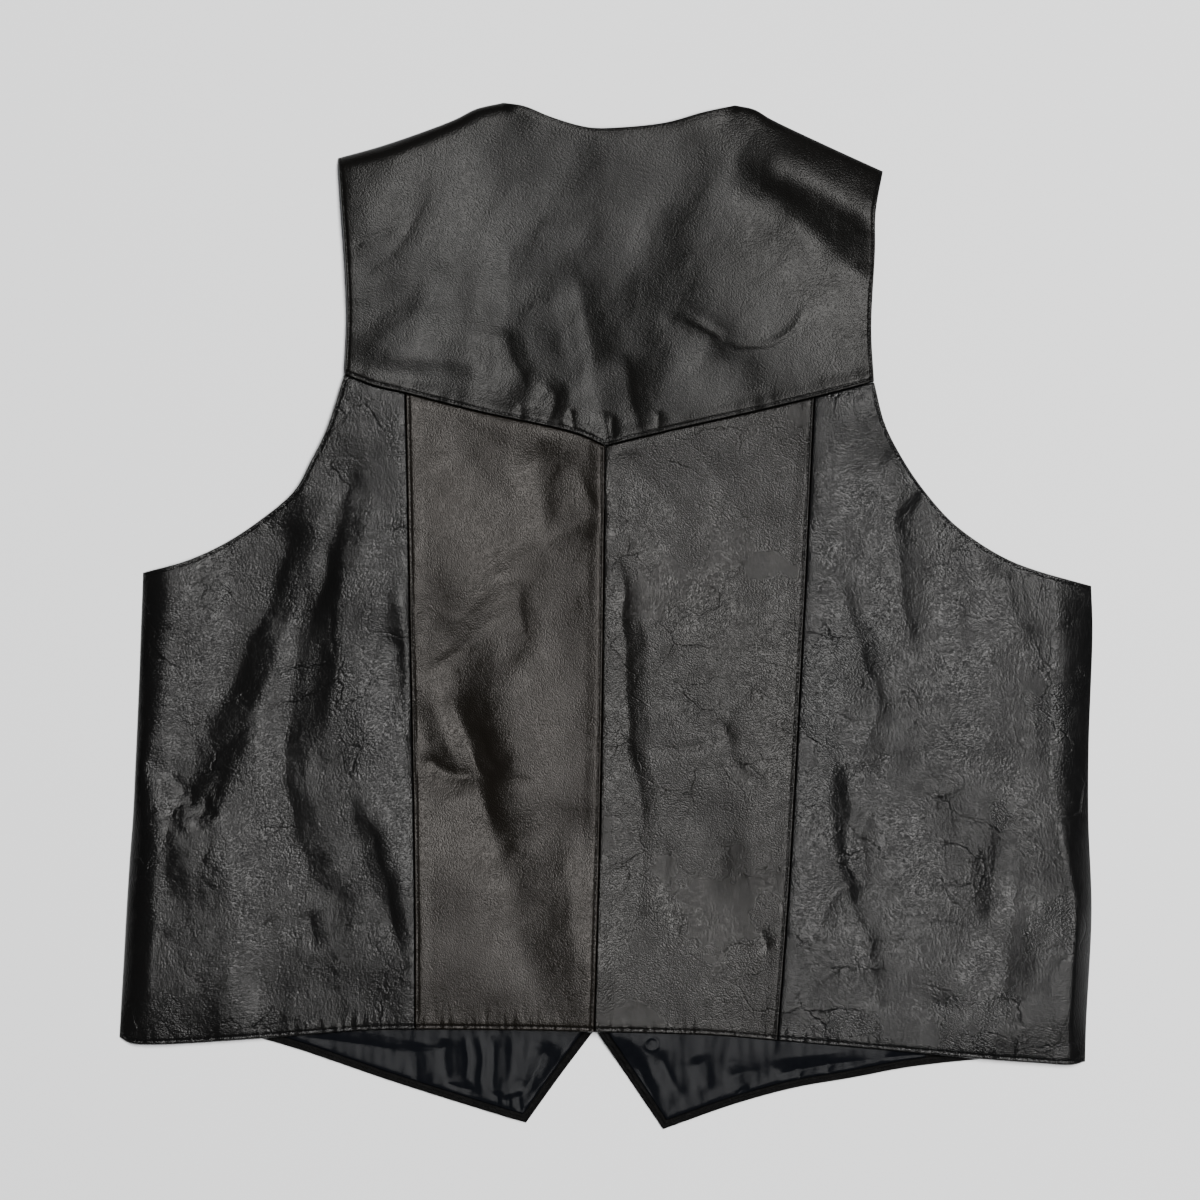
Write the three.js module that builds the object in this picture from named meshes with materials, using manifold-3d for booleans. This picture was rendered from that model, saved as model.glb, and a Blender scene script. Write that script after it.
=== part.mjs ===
// A leather vest laid flat on its front, seen from the back. Millimetres, +Z up, +Y towards the neck,
// -X is the left of the garment as it lies. The back is a yoke over four long panels joined by princess
// seams and a centre seam; the two fronts lie under it and show as two lined points below the hem.
import * as THREE from 'three';
import { mergeVertices } from 'three/addons/utils/BufferGeometryUtils.js';
import Module from 'manifold-3d';

const wasm = await Module();
wasm.setup();

// Walls and the small spaces between pieces
const leather = 1.2;
const satin = 1.0;
const seamGap = 0.3;
const turnedEdge = 1.1;          // what the folded-in edge of a front adds to its wall
const turnedWidth = 5;
const turnedStep = 0.9;
const turnedLines = 2;           // grid lines that the turned edge takes up

// Heights of the back's outer face over the surface that the vest lies on
const middleHeight = 8.5;
const hemHeight = 5.6;
const neckHeight = 4.6;
const armholeHeight = 4.6;
const edgeReach = 35;            // how far in from an edge the back takes to rise
const sideLift = 3.8;            // the springy side folds stand higher than the middle
const sideReach = 45;
const floorGap = 0.3;

// Rolls where the back turns down into the side seams and shoulder seams
const rollLeft = 18;
const rollRightHigh = 26;
const rollRightLow = 13;
const rollRightFrom = -180;      // the wide roll narrows between these two heights
const rollRightTo = -130;
const rollShoulder = 16;
const rollSteps = [0, 0.03, 0.12, 0.28, 0.55, 1];   // columns across a roll, as shares of it

// Closure down the overlapped fronts
const closureX = -6;
const closureBulge = 1.2;
const closureBulgeReach = 14;
const hemBulge = 2.2;
const hemBulgeReach = 32;
const closureTop = 70;
const neckFade = 110;
const studHeights = [-245, -170, -95, -20];
const studSides = 14;
const boreLength = 20;
const stud = {
  capRadius: 6.2, capHeight: 1.2, capBevel: 0.8, capBevelHeight: 0.4, shaftRadius: 2.1, holeRadius: 2.4,
  discRadius: 5, discTop: 5.5, discHeight: 1, discBevel: 0.3,
};

// Where each front lifts over what lies under it: across from the closure line, and up from the points
const overlap = {
  leftFrom: -30, leftTo: -12, leftLow: -280, leftHigh: -262,
  rightFrom: 24, rightTo: 48, rightLow: -312, rightHigh: -284,
};

// Edges of the back, each a short table of points in order
const armholeLeftLow = curve(
  { x: -314.5, y: 29.5 }, { x: -284.5, y: 37.8 }, { x: -260.2, y: 48.8 }, { x: -235.9, y: 64.5 },
  { x: -211.6, y: 85.2 }, { x: -199.5, y: 107 }, { x: -189.8, y: 126.5 }, { x: -177.4, y: 164.2 },
);
const armholeLeftHigh = curve(
  { x: -177.4, y: 164.2 }, { x: -175.7, y: 206.7 }, { x: -177.1, y: 243 }, { x: -179.6, y: 279.5 },
  { x: -181.9, y: 311.5 },
);
const armholeRightLow = curve(
  { x: 330.5, y: 20.5 }, { x: 294.5, y: 30.5 }, { x: 275.1, y: 37.8 }, { x: 255.6, y: 48.8 },
  { x: 235, y: 64.5 }, { x: 216.8, y: 85.2 }, { x: 203.4, y: 104.7 }, { x: 190.1, y: 130.2 },
  { x: 182.6, y: 159.2 },
);
const armholeRightHigh = curve(
  { x: 182.6, y: 159.2 }, { x: 180.8, y: 194.5 }, { x: 183.3, y: 247.9 }, { x: 183.8, y: 275 },
  { x: 188.8, y: 302.5 },
);
const shoulderLeft = curve(
  { x: -181.9, y: 311.5 }, { x: -153.3, y: 319.5 }, { x: -126.6, y: 328.5 }, { x: -102.3, y: 337.8 },
  { x: -87.8, y: 345 }, { x: -69.5, y: 349.2 },
);
const neck = curve(
  { x: -69.5, y: 349.2 }, { x: -55.3, y: 346.9 }, { x: -36.4, y: 339.3 }, { x: -11.3, y: 332.4 },
  { x: 10.3, y: 332.4 }, { x: 41.8, y: 335.9 }, { x: 66.2, y: 342.7 }, { x: 88.1, y: 347.5 },
);
const shoulderRight = curve(
  { x: 88.1, y: 347.5 }, { x: 101.4, y: 344.6 }, { x: 112.3, y: 338.2 }, { x: 148.8, y: 320.8 },
  { x: 188.8, y: 302.5 },
);
const sideLeft = curve(
  { x: -330.6, y: -286.5 }, { x: -328.7, y: -253.4 }, { x: -323.8, y: -168.4 }, { x: -321.4, y: -136.7 },
  { x: -317.3, y: -46.9 }, { x: -314.5, y: 29.5 },
);
const sideRight = curve(
  { x: 326.3, y: -303 }, { x: 327.1, y: -276.4 }, { x: 330.8, y: -200.9 }, { x: 328.6, y: -138 },
  { x: 328.8, y: -87.7 }, { x: 331.4, y: -10 }, { x: 330.5, y: 20.5 },
);
const hemSideLeft = curve(
  { x: -330.6, y: -286.5 }, { x: -323.3, y: -290.6 }, { x: -308.8, y: -291.7 }, { x: -233.5, y: -287.4 },
  { x: -163.1, y: -282 }, { x: -129.5, y: -281.2 },
);
const hemCentreLeft = curve({ x: -129.5, y: -281.2 }, { x: -41.6, y: -282 }, { x: -7.6, y: -283 });
const hemCentreRight = curve({ x: -7.6, y: -283 }, { x: 71.7, y: -285.2 }, { x: 117, y: -289 });
const hemSideRight = curve(
  { x: 117, y: -289 }, { x: 197.5, y: -296 }, { x: 257.9, y: -301.5 }, { x: 293.1, y: -304 },
  { x: 318, y: -305.2 }, { x: 326.3, y: -303 },
);
const princessLeft = curve(
  { x: -129.5, y: -281.2 }, { x: -129.8, y: -180.5 }, { x: -132.7, y: -16.3 }, { x: -136, y: 151.6 },
);
const centreSeam = curve(
  { x: -7.6, y: -283 }, { x: -4, y: -156.2 }, { x: -1.6, y: -16.3 }, { x: -0.3, y: 115.5 },
);
const princessRight = curve(
  { x: 117, y: -289 }, { x: 124.6, y: -188.4 }, { x: 134.2, y: -16.3 }, { x: 142, y: 148.6 },
);
const yokeSeamParts = [
  curve({ x: -177.4, y: 164.2 }, { x: -158.2, y: 156.8 }, { x: -136, y: 151.6 }),
  curve({ x: -136, y: 151.6 }, { x: -90.2, y: 139.8 }, { x: -19.8, y: 124 }, { x: -0.3, y: 115.5 }),
  curve({ x: -0.3, y: 115.5 }, { x: 29.8, y: 122.8 }, { x: 105.1, y: 139.8 }, { x: 142, y: 148.6 }),
  curve({ x: 142, y: 148.6 }, { x: 162, y: 153.7 }, { x: 182.6, y: 159.2 }),
];

// Edges of the fronts. Where they meet the back they lie a wall and a gap inside its rolled edges.
const frontHemLeft = curve(
  { x: -327.4, y: -280 }, { x: -280, y: -281.5 }, { x: -250, y: -284 }, { x: -216.4, y: -292.3 },
  { x: -144.2, y: -316.7 }, { x: -66.1, y: -341.2 }, { x: -54, y: -344.6 },
);
const frontHemRight = curve(
  { x: 39.3, y: -349 }, { x: 87.9, y: -331.9 }, { x: 127.7, y: -321 }, { x: 167.6, y: -314 },
  { x: 207.5, y: -306.6 }, { x: 258.1, y: -301.2 }, { x: 300, y: -299 }, { x: 323.4, y: -297 },
);
const frontPointLeft = curve({ x: -54, y: -344.6 }, { x: -29, y: -309.9 }, { x: 9, y: -260 });
const frontPointRight = curve({ x: 39.3, y: -349 }, { x: 12, y: -308.9 }, { x: -21, y: -260 });
const frontEdgeLeft = curve({ x: 9, y: -260 }, { x: 9, y: 10 });
const frontEdgeRight = curve({ x: -21, y: -260 }, { x: -21, y: 10 });
const frontNeckLeft = curve({ x: 9, y: 10 }, { x: -8, y: 90 }, { x: -30, y: 190 }, { x: -73, y: 344.2 });
const frontNeckRight = curve({ x: -21, y: 10 }, { x: 4, y: 90 }, { x: 34, y: 190 }, { x: 89, y: 343.2 });
const frontSideLeft = curve(
  { x: -327.4, y: -280 }, { x: -326.9, y: -253.4 }, { x: -322, y: -168.4 }, { x: -319.6, y: -136.7 },
  { x: -315.5, y: -46.9 }, { x: -311, y: 22 },
);
const frontSideRight = curve(
  { x: 323.4, y: -297 }, { x: 325, y: -276.4 }, { x: 329, y: -200.9 }, { x: 326.6, y: -138 },
  { x: 326.6, y: -87.7 }, { x: 329.2, y: -10 }, { x: 326.5, y: 12 },
);
const frontArmholeLeft = curve(
  { x: -311, y: 22 }, { x: -272, y: 29 }, { x: -230, y: 50 }, { x: -200, y: 76 },
  { x: -178, y: 115 }, { x: -167, y: 165 }, { x: -168, y: 230 }, { x: -178.8, y: 308.9 },
);
const frontArmholeRight = curve(
  { x: 326.5, y: 12 }, { x: 285, y: 20 }, { x: 243, y: 42 }, { x: 212, y: 68 },
  { x: 190, y: 108 }, { x: 174, y: 155 }, { x: 173, y: 225 }, { x: 184.6, y: 301.2 },
);

const frontShoulderLeft = curve(
  { x: -178.8, y: 308.9 }, { x: -153, y: 317.4 }, { x: -126, y: 326.4 }, { x: -101.6, y: 335.8 },
  { x: -88, y: 341.6 }, { x: -73, y: 344.2 },
);
const frontShoulderRight = curve(
  { x: 89, y: 343.2 }, { x: 100.6, y: 342.1 }, { x: 111.4, y: 336.2 }, { x: 148, y: 318.8 },
  { x: 184.6, y: 301.2 },
);

// Folds of the back, a row for each: a crest (rise above 0) or a trough (below 0) that runs from one
// end (x1, y1) over its middle (xm, ym) to the other (x2, y2), with its reach to each side of that way
const foldColumns = ['x1', 'y1', 'xm', 'ym', 'x2', 'y2', 'rise', 'left', 'right'];
const foldRows = [
  [-283, -118, -253, -27, -213, 75, -4.5, 12, 7],   // deep left
  [-266, -118, -234, -23, -204, 65, 1.8, 7, 14],    // deep left crest
  [-208, -159, -206, -23, -174, 96, -3.2, 10, 7],   // second left
  [-159, -207, -187, -183, -206, -149, -2, 9, 7],   // second tail
  [-274, -261, -289, -203, -283, -159, 2.2, 7, 9],  // leaf crest
  [-270, -282, -264, -227, -261, -169, -2.2, 8, 7], // leaf trough
  [-318, -98, -293, -115, -268, -137, -3, 7, 7],    // side pinch
  [-140, -224, -148, -186, -157, -151, -2.4, 6, 6], // low crease
  [-132, -98, -136, -50, -138, 4, 2, 6, 6],         // seam crest
  [-138, -84, -144, -50, -150, -10, -2, 6, 6],      // seam left
  [-121, -99, -123, -71, -128, -37, -2, 6, 6],      // seam right
  [-122, -99, -104, -107, -85, -109, -2.2, 7, 7],   // step across
  [-64, -159, -72, -125, -87, -81, -3, 7, 7],       // step down
  [-115, -41, -75, -8, -31, 11, -1.8, 12, 12],      // low slant
  [-72, 28, -41, 38, -19, 60, -1.8, 10, 8],         // high slant
  [-36, 65, -39, 86, -36, 113, -1.8, 8, 7],         // under yoke
  [-17, -159, -19, -84, -16, 52, 2.5, 15, 7],       // centre crest
  [35, -142, 20, -81, 15, 11, -3, 6, 6],            // centre valley
  [15, -214, 24, -186, 23, -149, -1.5, 6, 6],       // centre low
  [188, -50, 177, -16, 166, 18, -2, 8, 7],          // right high
  [168, -101, 178, -81, 188, -50, -2, 7, 7],        // right elbow
  [168, -174, 166, -139, 165, -105, 2, 6, 6],       // right crest
  [185, -244, 175, -210, 168, -181, -2, 6, 6],      // right low
  [138, -214, 153, -194, 166, -178, -2, 7, 7],      // right wedge
  [217, -23, 206, 24, 210, 65, -2.5, 7, 7],         // right top
  [279, -44, 275, -3, 270, 33, -2, 6, 6],           // right armhole
  [253, -251, 267, -180, 258, -57, 3.5, 24, 12],    // broad crest
  [251, -227, 238, -173, 217, -98, -1.8, 12, 9],    // broad inner
  [268, -265, 287, -220, 292, -152, -2.5, 9, 16],   // broad right
  [210, -246, 238, -263, 270, -263, -2.2, 9, 8],    // broad foot
  [308, -292, 319, -244, 323, -197, 1.8, 6, 6],     // side crest
  [302, -197, 317, -190, 333, -182, -2, 7, 7],      // side dent
  [2, 122, -1, 174, -11, 225, -3.2, 7, 7],          // yoke centre
  [25, 135, 22, 154, 15, 180, -2, 6, 6],            // yoke second
  [-150, 160, -113, 171, -41, 148, 2.4, 14, 8],     // yoke arch
  [88, 307, 132, 290, 193, 276, 4, 22, 10],         // shoulder ridge
  [-72, 211, -39, 256, -4, 215, 1.6, 18, 10],       // yoke dome
  [-174, 184, -143, 211, -109, 237, -1.5, 8, 8],    // yoke slant
];
const foldTaper = 0.35;          // share of a fold's length over which each end dies away
const foldSpans = 8;

// Grid sizes, and the rows and columns of a front at distances from its point and inner edge
const edgeSpans = 24;
const slopeStep = 0.5;
const sideColumns = 20;          // beside the roll's own columns
const sideYokeColumns = 5;
const centreColumns = 14;
const shoulderLeftColumns = 12;
const neckColumns = 16;
const shoulderRightColumns = 10;
const panelRows = 25;
const yokeRows = 10;             // beside the roll's own rows
const turnedInner = turnedWidth + turnedStep;
const pointRows = [0, turnedWidth, turnedInner, 20, 35, 50, 64, 78];
const sideRows = [0, turnedWidth, turnedInner, 14, 23, 32, 41, 50];
const leftColumns = [0, turnedWidth, turnedInner, 20, 33, 45];
const rightColumns = [0, turnedWidth, turnedInner, 20, 30, 40, 52];
const frontColumns = 7;
const edgeRows = 4;
const neckRows = 6;
const liningFirstColumn = 3;

// Finishes
const leatherLook = { color: '#2b2a28', roughness: 0.42, metalness: 0 };
const satinLook = { color: '#14161c', roughness: 0.28, metalness: 0 };
const studLook = { color: '#8d8b86', roughness: 0.35, metalness: 0.9 };

// Lines that the heights are measured from
const hemLine = lineOf(hemSideLeft, hemCentreLeft, hemCentreRight, hemSideRight);
const armholeLine = lineOf(armholeLeftLow, armholeLeftHigh, armholeRightLow, armholeRightHigh);
const neckLine = lineOf(neck);
const shoulderLine = lineOf(shoulderLeft, shoulderRight);
const sideLeftLine = lineOf(sideLeft);
const sideRightLine = lineOf(sideRight);
const folds = foldRows.map(makeFold);

// Placing points along the edges

function curve(...points) {
  return new THREE.CatmullRomCurve3(points.map((point) => new THREE.Vector3(point.x, point.y, 0)));
}

function evenShares(count) {
  return Array.from({ length: count + 1 }, (_, step) => step / count);
}

// shares of a length at the given distances from its start, then evenly to its end
function spacedShares(length, distances, others) {
  const last = distances.at(-1);
  const near = distances.map((distance) => distance / length);
  const rest = evenShares(others).slice(1).map((share) => (last + share * (length - last)) / length);
  return [...near, ...rest];
}

function rolledShares(edge, roll, others) {
  return spacedShares(edge.getLength(), rollSteps.map((step) => step * roll), others);
}

function mirrored(shares) {
  return shares.map((share) => 1 - share).reverse();
}

function pointsOn(edge, shares) {
  return shares.map((share) => edge.getPointAt(share));
}

// runs of points in a row, each ending where the next begins
function joined(...runs) {
  return runs.flatMap((run, index) => (index ? run.slice(1) : run));
}

function reversed(points) {
  return [...points].reverse();
}

function sharesOf(points) {
  const lengths = [0];
  for (let step = 1; step < points.length; step += 1) {
    lengths.push(lengths[step - 1] + points[step].distanceTo(points[step - 1]));
  }
  return lengths.map((length) => length / lengths.at(-1));
}

// a grid of points, rows from bottom to top, that fills the space between four edges
function patch({ left, right, bottom, top }) {
  const across = sharesOf(bottom);
  const up = sharesOf(left);
  return left.map((leftPoint, row) => bottom.map((bottomPoint, column) => {
    const a = across[column];
    const b = up[row];
    const point = new THREE.Vector3();
    point.addScaledVector(bottomPoint, 1 - b);
    point.addScaledVector(top[column], b);
    point.addScaledVector(leftPoint, 1 - a);
    point.addScaledVector(right[row], a);
    point.addScaledVector(left[0], -(1 - a) * (1 - b));
    point.addScaledVector(right[0], -a * (1 - b));
    point.addScaledVector(left.at(-1), -(1 - a) * b);
    point.addScaledVector(right.at(-1), -a * b);
    return point;
  }));
}

// draws the named sides of a grid in by half the gap of a seam
function drawIn(grid, sides) {
  const lastRow = grid.length - 1;
  const lastColumn = grid[0].length - 1;
  const isOn = {
    left: (row, column) => column === 0,
    right: (row, column) => column === lastColumn,
    bottom: (row) => row === 0,
    top: (row) => row === lastRow,
  };
  const inward = (side, row, column) => {
    const upright = side === 'left' || side === 'right';
    const stepRow = upright ? 1 : 0;
    const stepColumn = upright ? 0 : 1;
    const ahead = grid[Math.min(row + stepRow, lastRow)][Math.min(column + stepColumn, lastColumn)];
    const behind = grid[Math.max(row - stepRow, 0)][Math.max(column - stepColumn, 0)];
    const way = ahead.clone().sub(behind).normalize();
    const turn = side === 'left' || side === 'top' ? 1 : -1;
    return new THREE.Vector3(turn * way.y, -turn * way.x, 0);
  };
  return grid.map((line, row) => line.map((point, column) => {
    const ways = sides.filter((side) => isOn[side](row, column)).map((side) => inward(side, row, column));
    const shift = ways.reduce((sum, way) => sum.add(way), new THREE.Vector3());
    const meet = ways.length > 1 ? 1 + ways[0].dot(ways[1]) : 1;
    return point.clone().addScaledVector(shift, seamGap / 2 / meet);
  }));
}

// Heights

function bell(share) {
  return Math.exp(-0.5 * share ** 2);
}

function ramp(value, from, to) {
  return THREE.MathUtils.smoothstep(value, from, to);
}

function lineOf(...edges) {
  return edges.map((edge) => edge.getSpacedPoints(edgeSpans));
}

// the nearest place on a bent line: how far off, how far along it (0 to 1), and on which side
function nearestOn(points, x, y) {
  const best = { distance: Infinity, share: 0, side: 0 };
  const spans = points.length - 1;
  for (let span = 0; span < spans; span += 1) {
    const start = points[span];
    const alongX = points[span + 1].x - start.x;
    const alongY = points[span + 1].y - start.y;
    const reach = ((x - start.x) * alongX + (y - start.y) * alongY) / (alongX ** 2 + alongY ** 2);
    const step = THREE.MathUtils.clamp(reach, 0, 1);
    const offX = x - start.x - step * alongX;
    const offY = y - start.y - step * alongY;
    const distance = Math.hypot(offX, offY);
    if (distance < best.distance) {
      best.distance = distance;
      best.share = (span + step) / spans;
      best.side = alongX * offY - alongY * offX;
    }
  }
  return best;
}

function distanceTo(lines, x, y) {
  return Math.min(...lines.map((points) => nearestOn(points, x, y).distance));
}

// how far below the nearest of some lines a place is, and 0 above them
function depthInside(lines, x, y) {
  return Math.min(...lines.map((points) => {
    const near = nearestOn(points, x, y);
    return near.side < 0 ? near.distance : 0;
  }));
}

// where an upright line lies across the vest at height y
function acrossAt([points], y) {
  const above = points.findIndex((point) => point.y > y);
  if (above === 0) return points[0].x;
  if (above < 0) return points.at(-1).x;
  const low = points[above - 1];
  const high = points[above];
  return low.x + ((high.x - low.x) * (y - low.y)) / (high.y - low.y);
}

function makeFold(row) {
  const fold = Object.fromEntries(foldColumns.map((column, index) => [column, row[index]]));
  const start = new THREE.Vector2(fold.x1, fold.y1);
  const end = new THREE.Vector2(fold.x2, fold.y2);
  const middle = new THREE.Vector2(fold.xm, fold.ym);
  const handle = middle.multiplyScalar(2).addScaledVector(start, -0.5).addScaledVector(end, -0.5);
  fold.path = new THREE.QuadraticBezierCurve(start, handle, end).getPoints(foldSpans);
  return fold;
}

function foldHeight(fold, x, y) {
  const near = nearestOn(fold.path, x, y);
  const reach = near.side > 0 ? fold.left : fold.right;
  const ends = ramp(near.share, 0, foldTaper) * ramp(1 - near.share, 0, foldTaper);
  return fold.rise * ends * bell(near.distance / reach);
}

// the quarter ellipse of a rolled edge: 0 at the edge, 1 where the roll ends
function rolled(share) {
  return share >= 1 ? 1 : Math.sqrt(1 - (1 - Math.max(share, 0)) ** 2);
}

// how much of the full height is left this far from an edge of its own height
function settled(distance, edgeHeight, fullHeight) {
  return 1 - (1 - edgeHeight / fullHeight) * Math.exp(-distance / edgeReach);
}

function backHeight(x, y) {
  const fromLeft = Math.max(0, x - acrossAt(sideLeftLine, y));
  const fromRight = Math.max(0, acrossAt(sideRightLine, y) - x);
  const lift = sideLift * (Math.exp(-fromLeft / sideReach) + Math.exp(-fromRight / sideReach));
  const fades = 1 - ramp(y, closureTop, neckFade);
  const bulge = closureBulge * bell((x - closureX) / closureBulgeReach) * fades;
  const full = middleHeight + lift + bulge;
  const hemEdge = hemHeight + hemBulge * bell((x - closureX) / hemBulgeReach);
  const draped = full * settled(distanceTo(hemLine, x, y), hemEdge, full)
    * settled(distanceTo(armholeLine, x, y), armholeHeight, full)
    * settled(distanceTo(neckLine, x, y), neckHeight, full);
  const creased = folds.reduce((height, fold) => height + foldHeight(fold, x, y), draped);
  const rollRight = rollRightLow + (rollRightHigh - rollRightLow) * ramp(y, rollRightFrom, rollRightTo);
  const roll = rolled(fromLeft / rollLeft) * rolled(fromRight / rollRight)
    * rolled(depthInside(shoulderLine, x, y) / rollShoulder);
  return floorGap + (creased - floorGap) * roll;
}

function backNormal(x, y) {
  const slopeX = backHeight(x + slopeStep, y) - backHeight(x - slopeStep, y);
  const slopeY = backHeight(x, y + slopeStep) - backHeight(x, y - slopeStep);
  return new THREE.Vector3(-slopeX, -slopeY, 2 * slopeStep).normalize();
}

// Solids

// a closed wall between an upper and a lower grid of the same size
function wall(name, look, upper, lower) {
  const rows = upper.length;
  const columns = upper[0].length;
  const positions = [upper, lower].flatMap((grid) => grid.flat().flatMap((point) => point.toArray()));
  const at = (layer, row, column) => (layer * rows + row) * columns + column;
  const faces = [];
  const quad = (a, b, c, d) => faces.push(a, b, c, a, c, d);
  for (let row = 0; row < rows - 1; row += 1) {
    for (let column = 0; column < columns - 1; column += 1) {
      quad(at(0, row, column), at(0, row, column + 1), at(0, row + 1, column + 1), at(0, row + 1, column));
      quad(at(1, row, column), at(1, row + 1, column), at(1, row + 1, column + 1), at(1, row, column + 1));
    }
  }
  const rim = (rowA, columnA, rowB, columnB) => quad(
    at(1, rowA, columnA), at(1, rowB, columnB), at(0, rowB, columnB), at(0, rowA, columnA),
  );
  for (let column = 0; column < columns - 1; column += 1) {
    rim(0, column, 0, column + 1);
    rim(rows - 1, column + 1, rows - 1, column);
  }
  for (let row = 0; row < rows - 1; row += 1) {
    rim(row, columns - 1, row + 1, columns - 1);
    rim(row + 1, 0, row, 0);
  }
  const geometry = new THREE.BufferGeometry();
  geometry.setAttribute('position', new THREE.Float32BufferAttribute(positions, 3));
  geometry.setIndex(faces);
  return solid(name, look, geometry);
}

function solid(name, look, geometry) {
  geometry.computeVertexNormals();
  const mesh = new THREE.Mesh(geometry, new THREE.MeshStandardMaterial(look));
  mesh.name = name;
  return mesh;
}

function bare(geometry) {
  geometry.deleteAttribute('normal');
  geometry.deleteAttribute('uv');
  return mergeVertices(geometry);
}

function asManifold(geometry) {
  return new wasm.Manifold(new wasm.Mesh({
    numProp: 3,
    vertProperties: new Float32Array(geometry.attributes.position.array),
    triVerts: new Uint32Array(geometry.index.array),
  }));
}

// cuts the shaft holes of the studs through a front
function drilled(front) {
  let body = asManifold(bare(front.geometry));
  for (const y of studHeights) {
    const bore = new THREE.CylinderGeometry(stud.holeRadius, stud.holeRadius, boreLength, studSides);
    bore.rotateX(Math.PI / 2);
    bore.translate(closureX, y, 0);
    body = body.subtract(asManifold(bare(bore)));
  }
  const cut = body.getMesh();
  const geometry = new THREE.BufferGeometry();
  geometry.setAttribute('position', new THREE.BufferAttribute(cut.vertProperties, 3));
  geometry.setIndex(new THREE.BufferAttribute(cut.triVerts, 1));
  return solid(front.name, leatherLook, geometry);
}

// The back

function backPanel(name, edges, seams) {
  const plan = drawIn(patch(edges), seams);
  const outer = plan.map((line) => line.map(({ x, y }) => new THREE.Vector3(x, y, backHeight(x, y))));
  const inner = outer.map((line) => line.map((point) => {
    const under = point.clone().addScaledVector(backNormal(point.x, point.y), -leather);
    return under.setZ(Math.max(under.z, 0));
  }));
  return wall(name, leatherLook, outer, inner);
}

function backPanels() {
  const upShares = evenShares(panelRows);
  const armholeColumns = sideColumns - sideYokeColumns;
  const [seamSideLeft, seamCentreLeft, seamCentreRight, seamSideRight] = yokeSeamParts;
  const sideYoke = evenShares(sideYokeColumns);
  const centre = evenShares(centreColumns);
  const sideLeftPanel = backPanel('back_side_left', {
    left: pointsOn(sideLeft, upShares),
    right: pointsOn(princessLeft, upShares),
    bottom: pointsOn(hemSideLeft, rolledShares(hemSideLeft, rollLeft, sideColumns)),
    top: joined(
      pointsOn(armholeLeftLow, rolledShares(armholeLeftLow, rollLeft, armholeColumns)),
      pointsOn(seamSideLeft, sideYoke),
    ),
  }, ['right', 'top']);
  const centreLeftPanel = backPanel('back_centre_left', {
    left: pointsOn(princessLeft, upShares),
    right: pointsOn(centreSeam, upShares),
    bottom: pointsOn(hemCentreLeft, centre),
    top: pointsOn(seamCentreLeft, centre),
  }, ['left', 'right', 'top']);
  const centreRightPanel = backPanel('back_centre_right', {
    left: pointsOn(centreSeam, upShares),
    right: pointsOn(princessRight, upShares),
    bottom: pointsOn(hemCentreRight, centre),
    top: pointsOn(seamCentreRight, centre),
  }, ['left', 'right', 'top']);
  const sideRightPanel = backPanel('back_side_right', {
    left: pointsOn(princessRight, upShares),
    right: pointsOn(sideRight, upShares),
    bottom: pointsOn(hemSideRight, mirrored(rolledShares(hemSideRight, rollRightLow, sideColumns))),
    top: joined(
      pointsOn(seamSideRight, sideYoke),
      reversed(pointsOn(armholeRightLow, rolledShares(armholeRightLow, rollRightHigh, armholeColumns))),
    ),
  }, ['left', 'top']);
  const yokeShares = mirrored(rolledShares(armholeLeftHigh, rollShoulder, yokeRows));
  const yoke = backPanel('back_yoke', {
    left: pointsOn(armholeLeftHigh, yokeShares),
    right: pointsOn(armholeRightHigh, yokeShares),
    bottom: joined(
      pointsOn(seamSideLeft, sideYoke),
      pointsOn(seamCentreLeft, centre),
      pointsOn(seamCentreRight, centre),
      pointsOn(seamSideRight, sideYoke),
    ),
    top: joined(
      pointsOn(shoulderLeft, evenShares(shoulderLeftColumns)),
      pointsOn(neck, evenShares(neckColumns)),
      pointsOn(shoulderRight, evenShares(shoulderRightColumns)),
    ),
  }, ['bottom']);
  return [yoke, sideLeftPanel, centreLeftPanel, centreRightPanel, sideRightPanel];
}

// The fronts, with the wearer's left front below at the closure and lifted over the stud caps

const leftRise = stud.capHeight + seamGap;
const rightRise = leftRise + leather + seamGap;

function leftFrontHeight(x, y) {
  const across = ramp(x - closureX, overlap.leftFrom, overlap.leftTo);
  const up = ramp(y, overlap.leftLow, overlap.leftHigh) * (1 - ramp(y, closureTop, neckFade));
  return leftRise * across * up;
}

function rightFrontHeight(x, y) {
  const across = 1 - ramp(x - closureX, overlap.rightFrom, overlap.rightTo);
  const up = ramp(y, overlap.rightLow, overlap.rightHigh) * (1 - ramp(y, closureTop, neckFade));
  return rightRise * across * up;
}

// shares up a front's inner edge: its point, its straight edge and its neck
function innerRun(point, edge, neckEdge) {
  return joined(
    pointsOn(point, spacedShares(point.getLength(), pointRows, 1)),
    pointsOn(edge, evenShares(edgeRows)),
    pointsOn(neckEdge, evenShares(neckRows)),
  );
}

function outerRun(side, armhole) {
  return joined(
    pointsOn(side, spacedShares(side.getLength(), sideRows, edgeRows + 1)),
    pointsOn(armhole, evenShares(neckRows)),
  );
}

// the lower edge or the shoulder of a front, its columns set from the inner end
function crossShares(edge, innerColumns) {
  return spacedShares(edge.getLength(), innerColumns, frontColumns);
}

function front(name, plan, heightAt, isInner, isOuter) {
  const lower = plan.map((line) => line.map(({ x, y }) => new THREE.Vector3(x, y, heightAt(x, y))));
  const upper = lower.map((line, row) => line.map((point, column) => {
    const atHem = row < turnedLines && !isOuter(column);
    const atPoint = isInner(column) && row < pointRows.length;
    const extra = atHem || atPoint ? turnedEdge : 0;
    return point.clone().add(new THREE.Vector3(0, 0, leather + extra));
  }));
  return { upper, mesh: drilled(wall(name, leatherLook, upper, lower)) };
}

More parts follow.
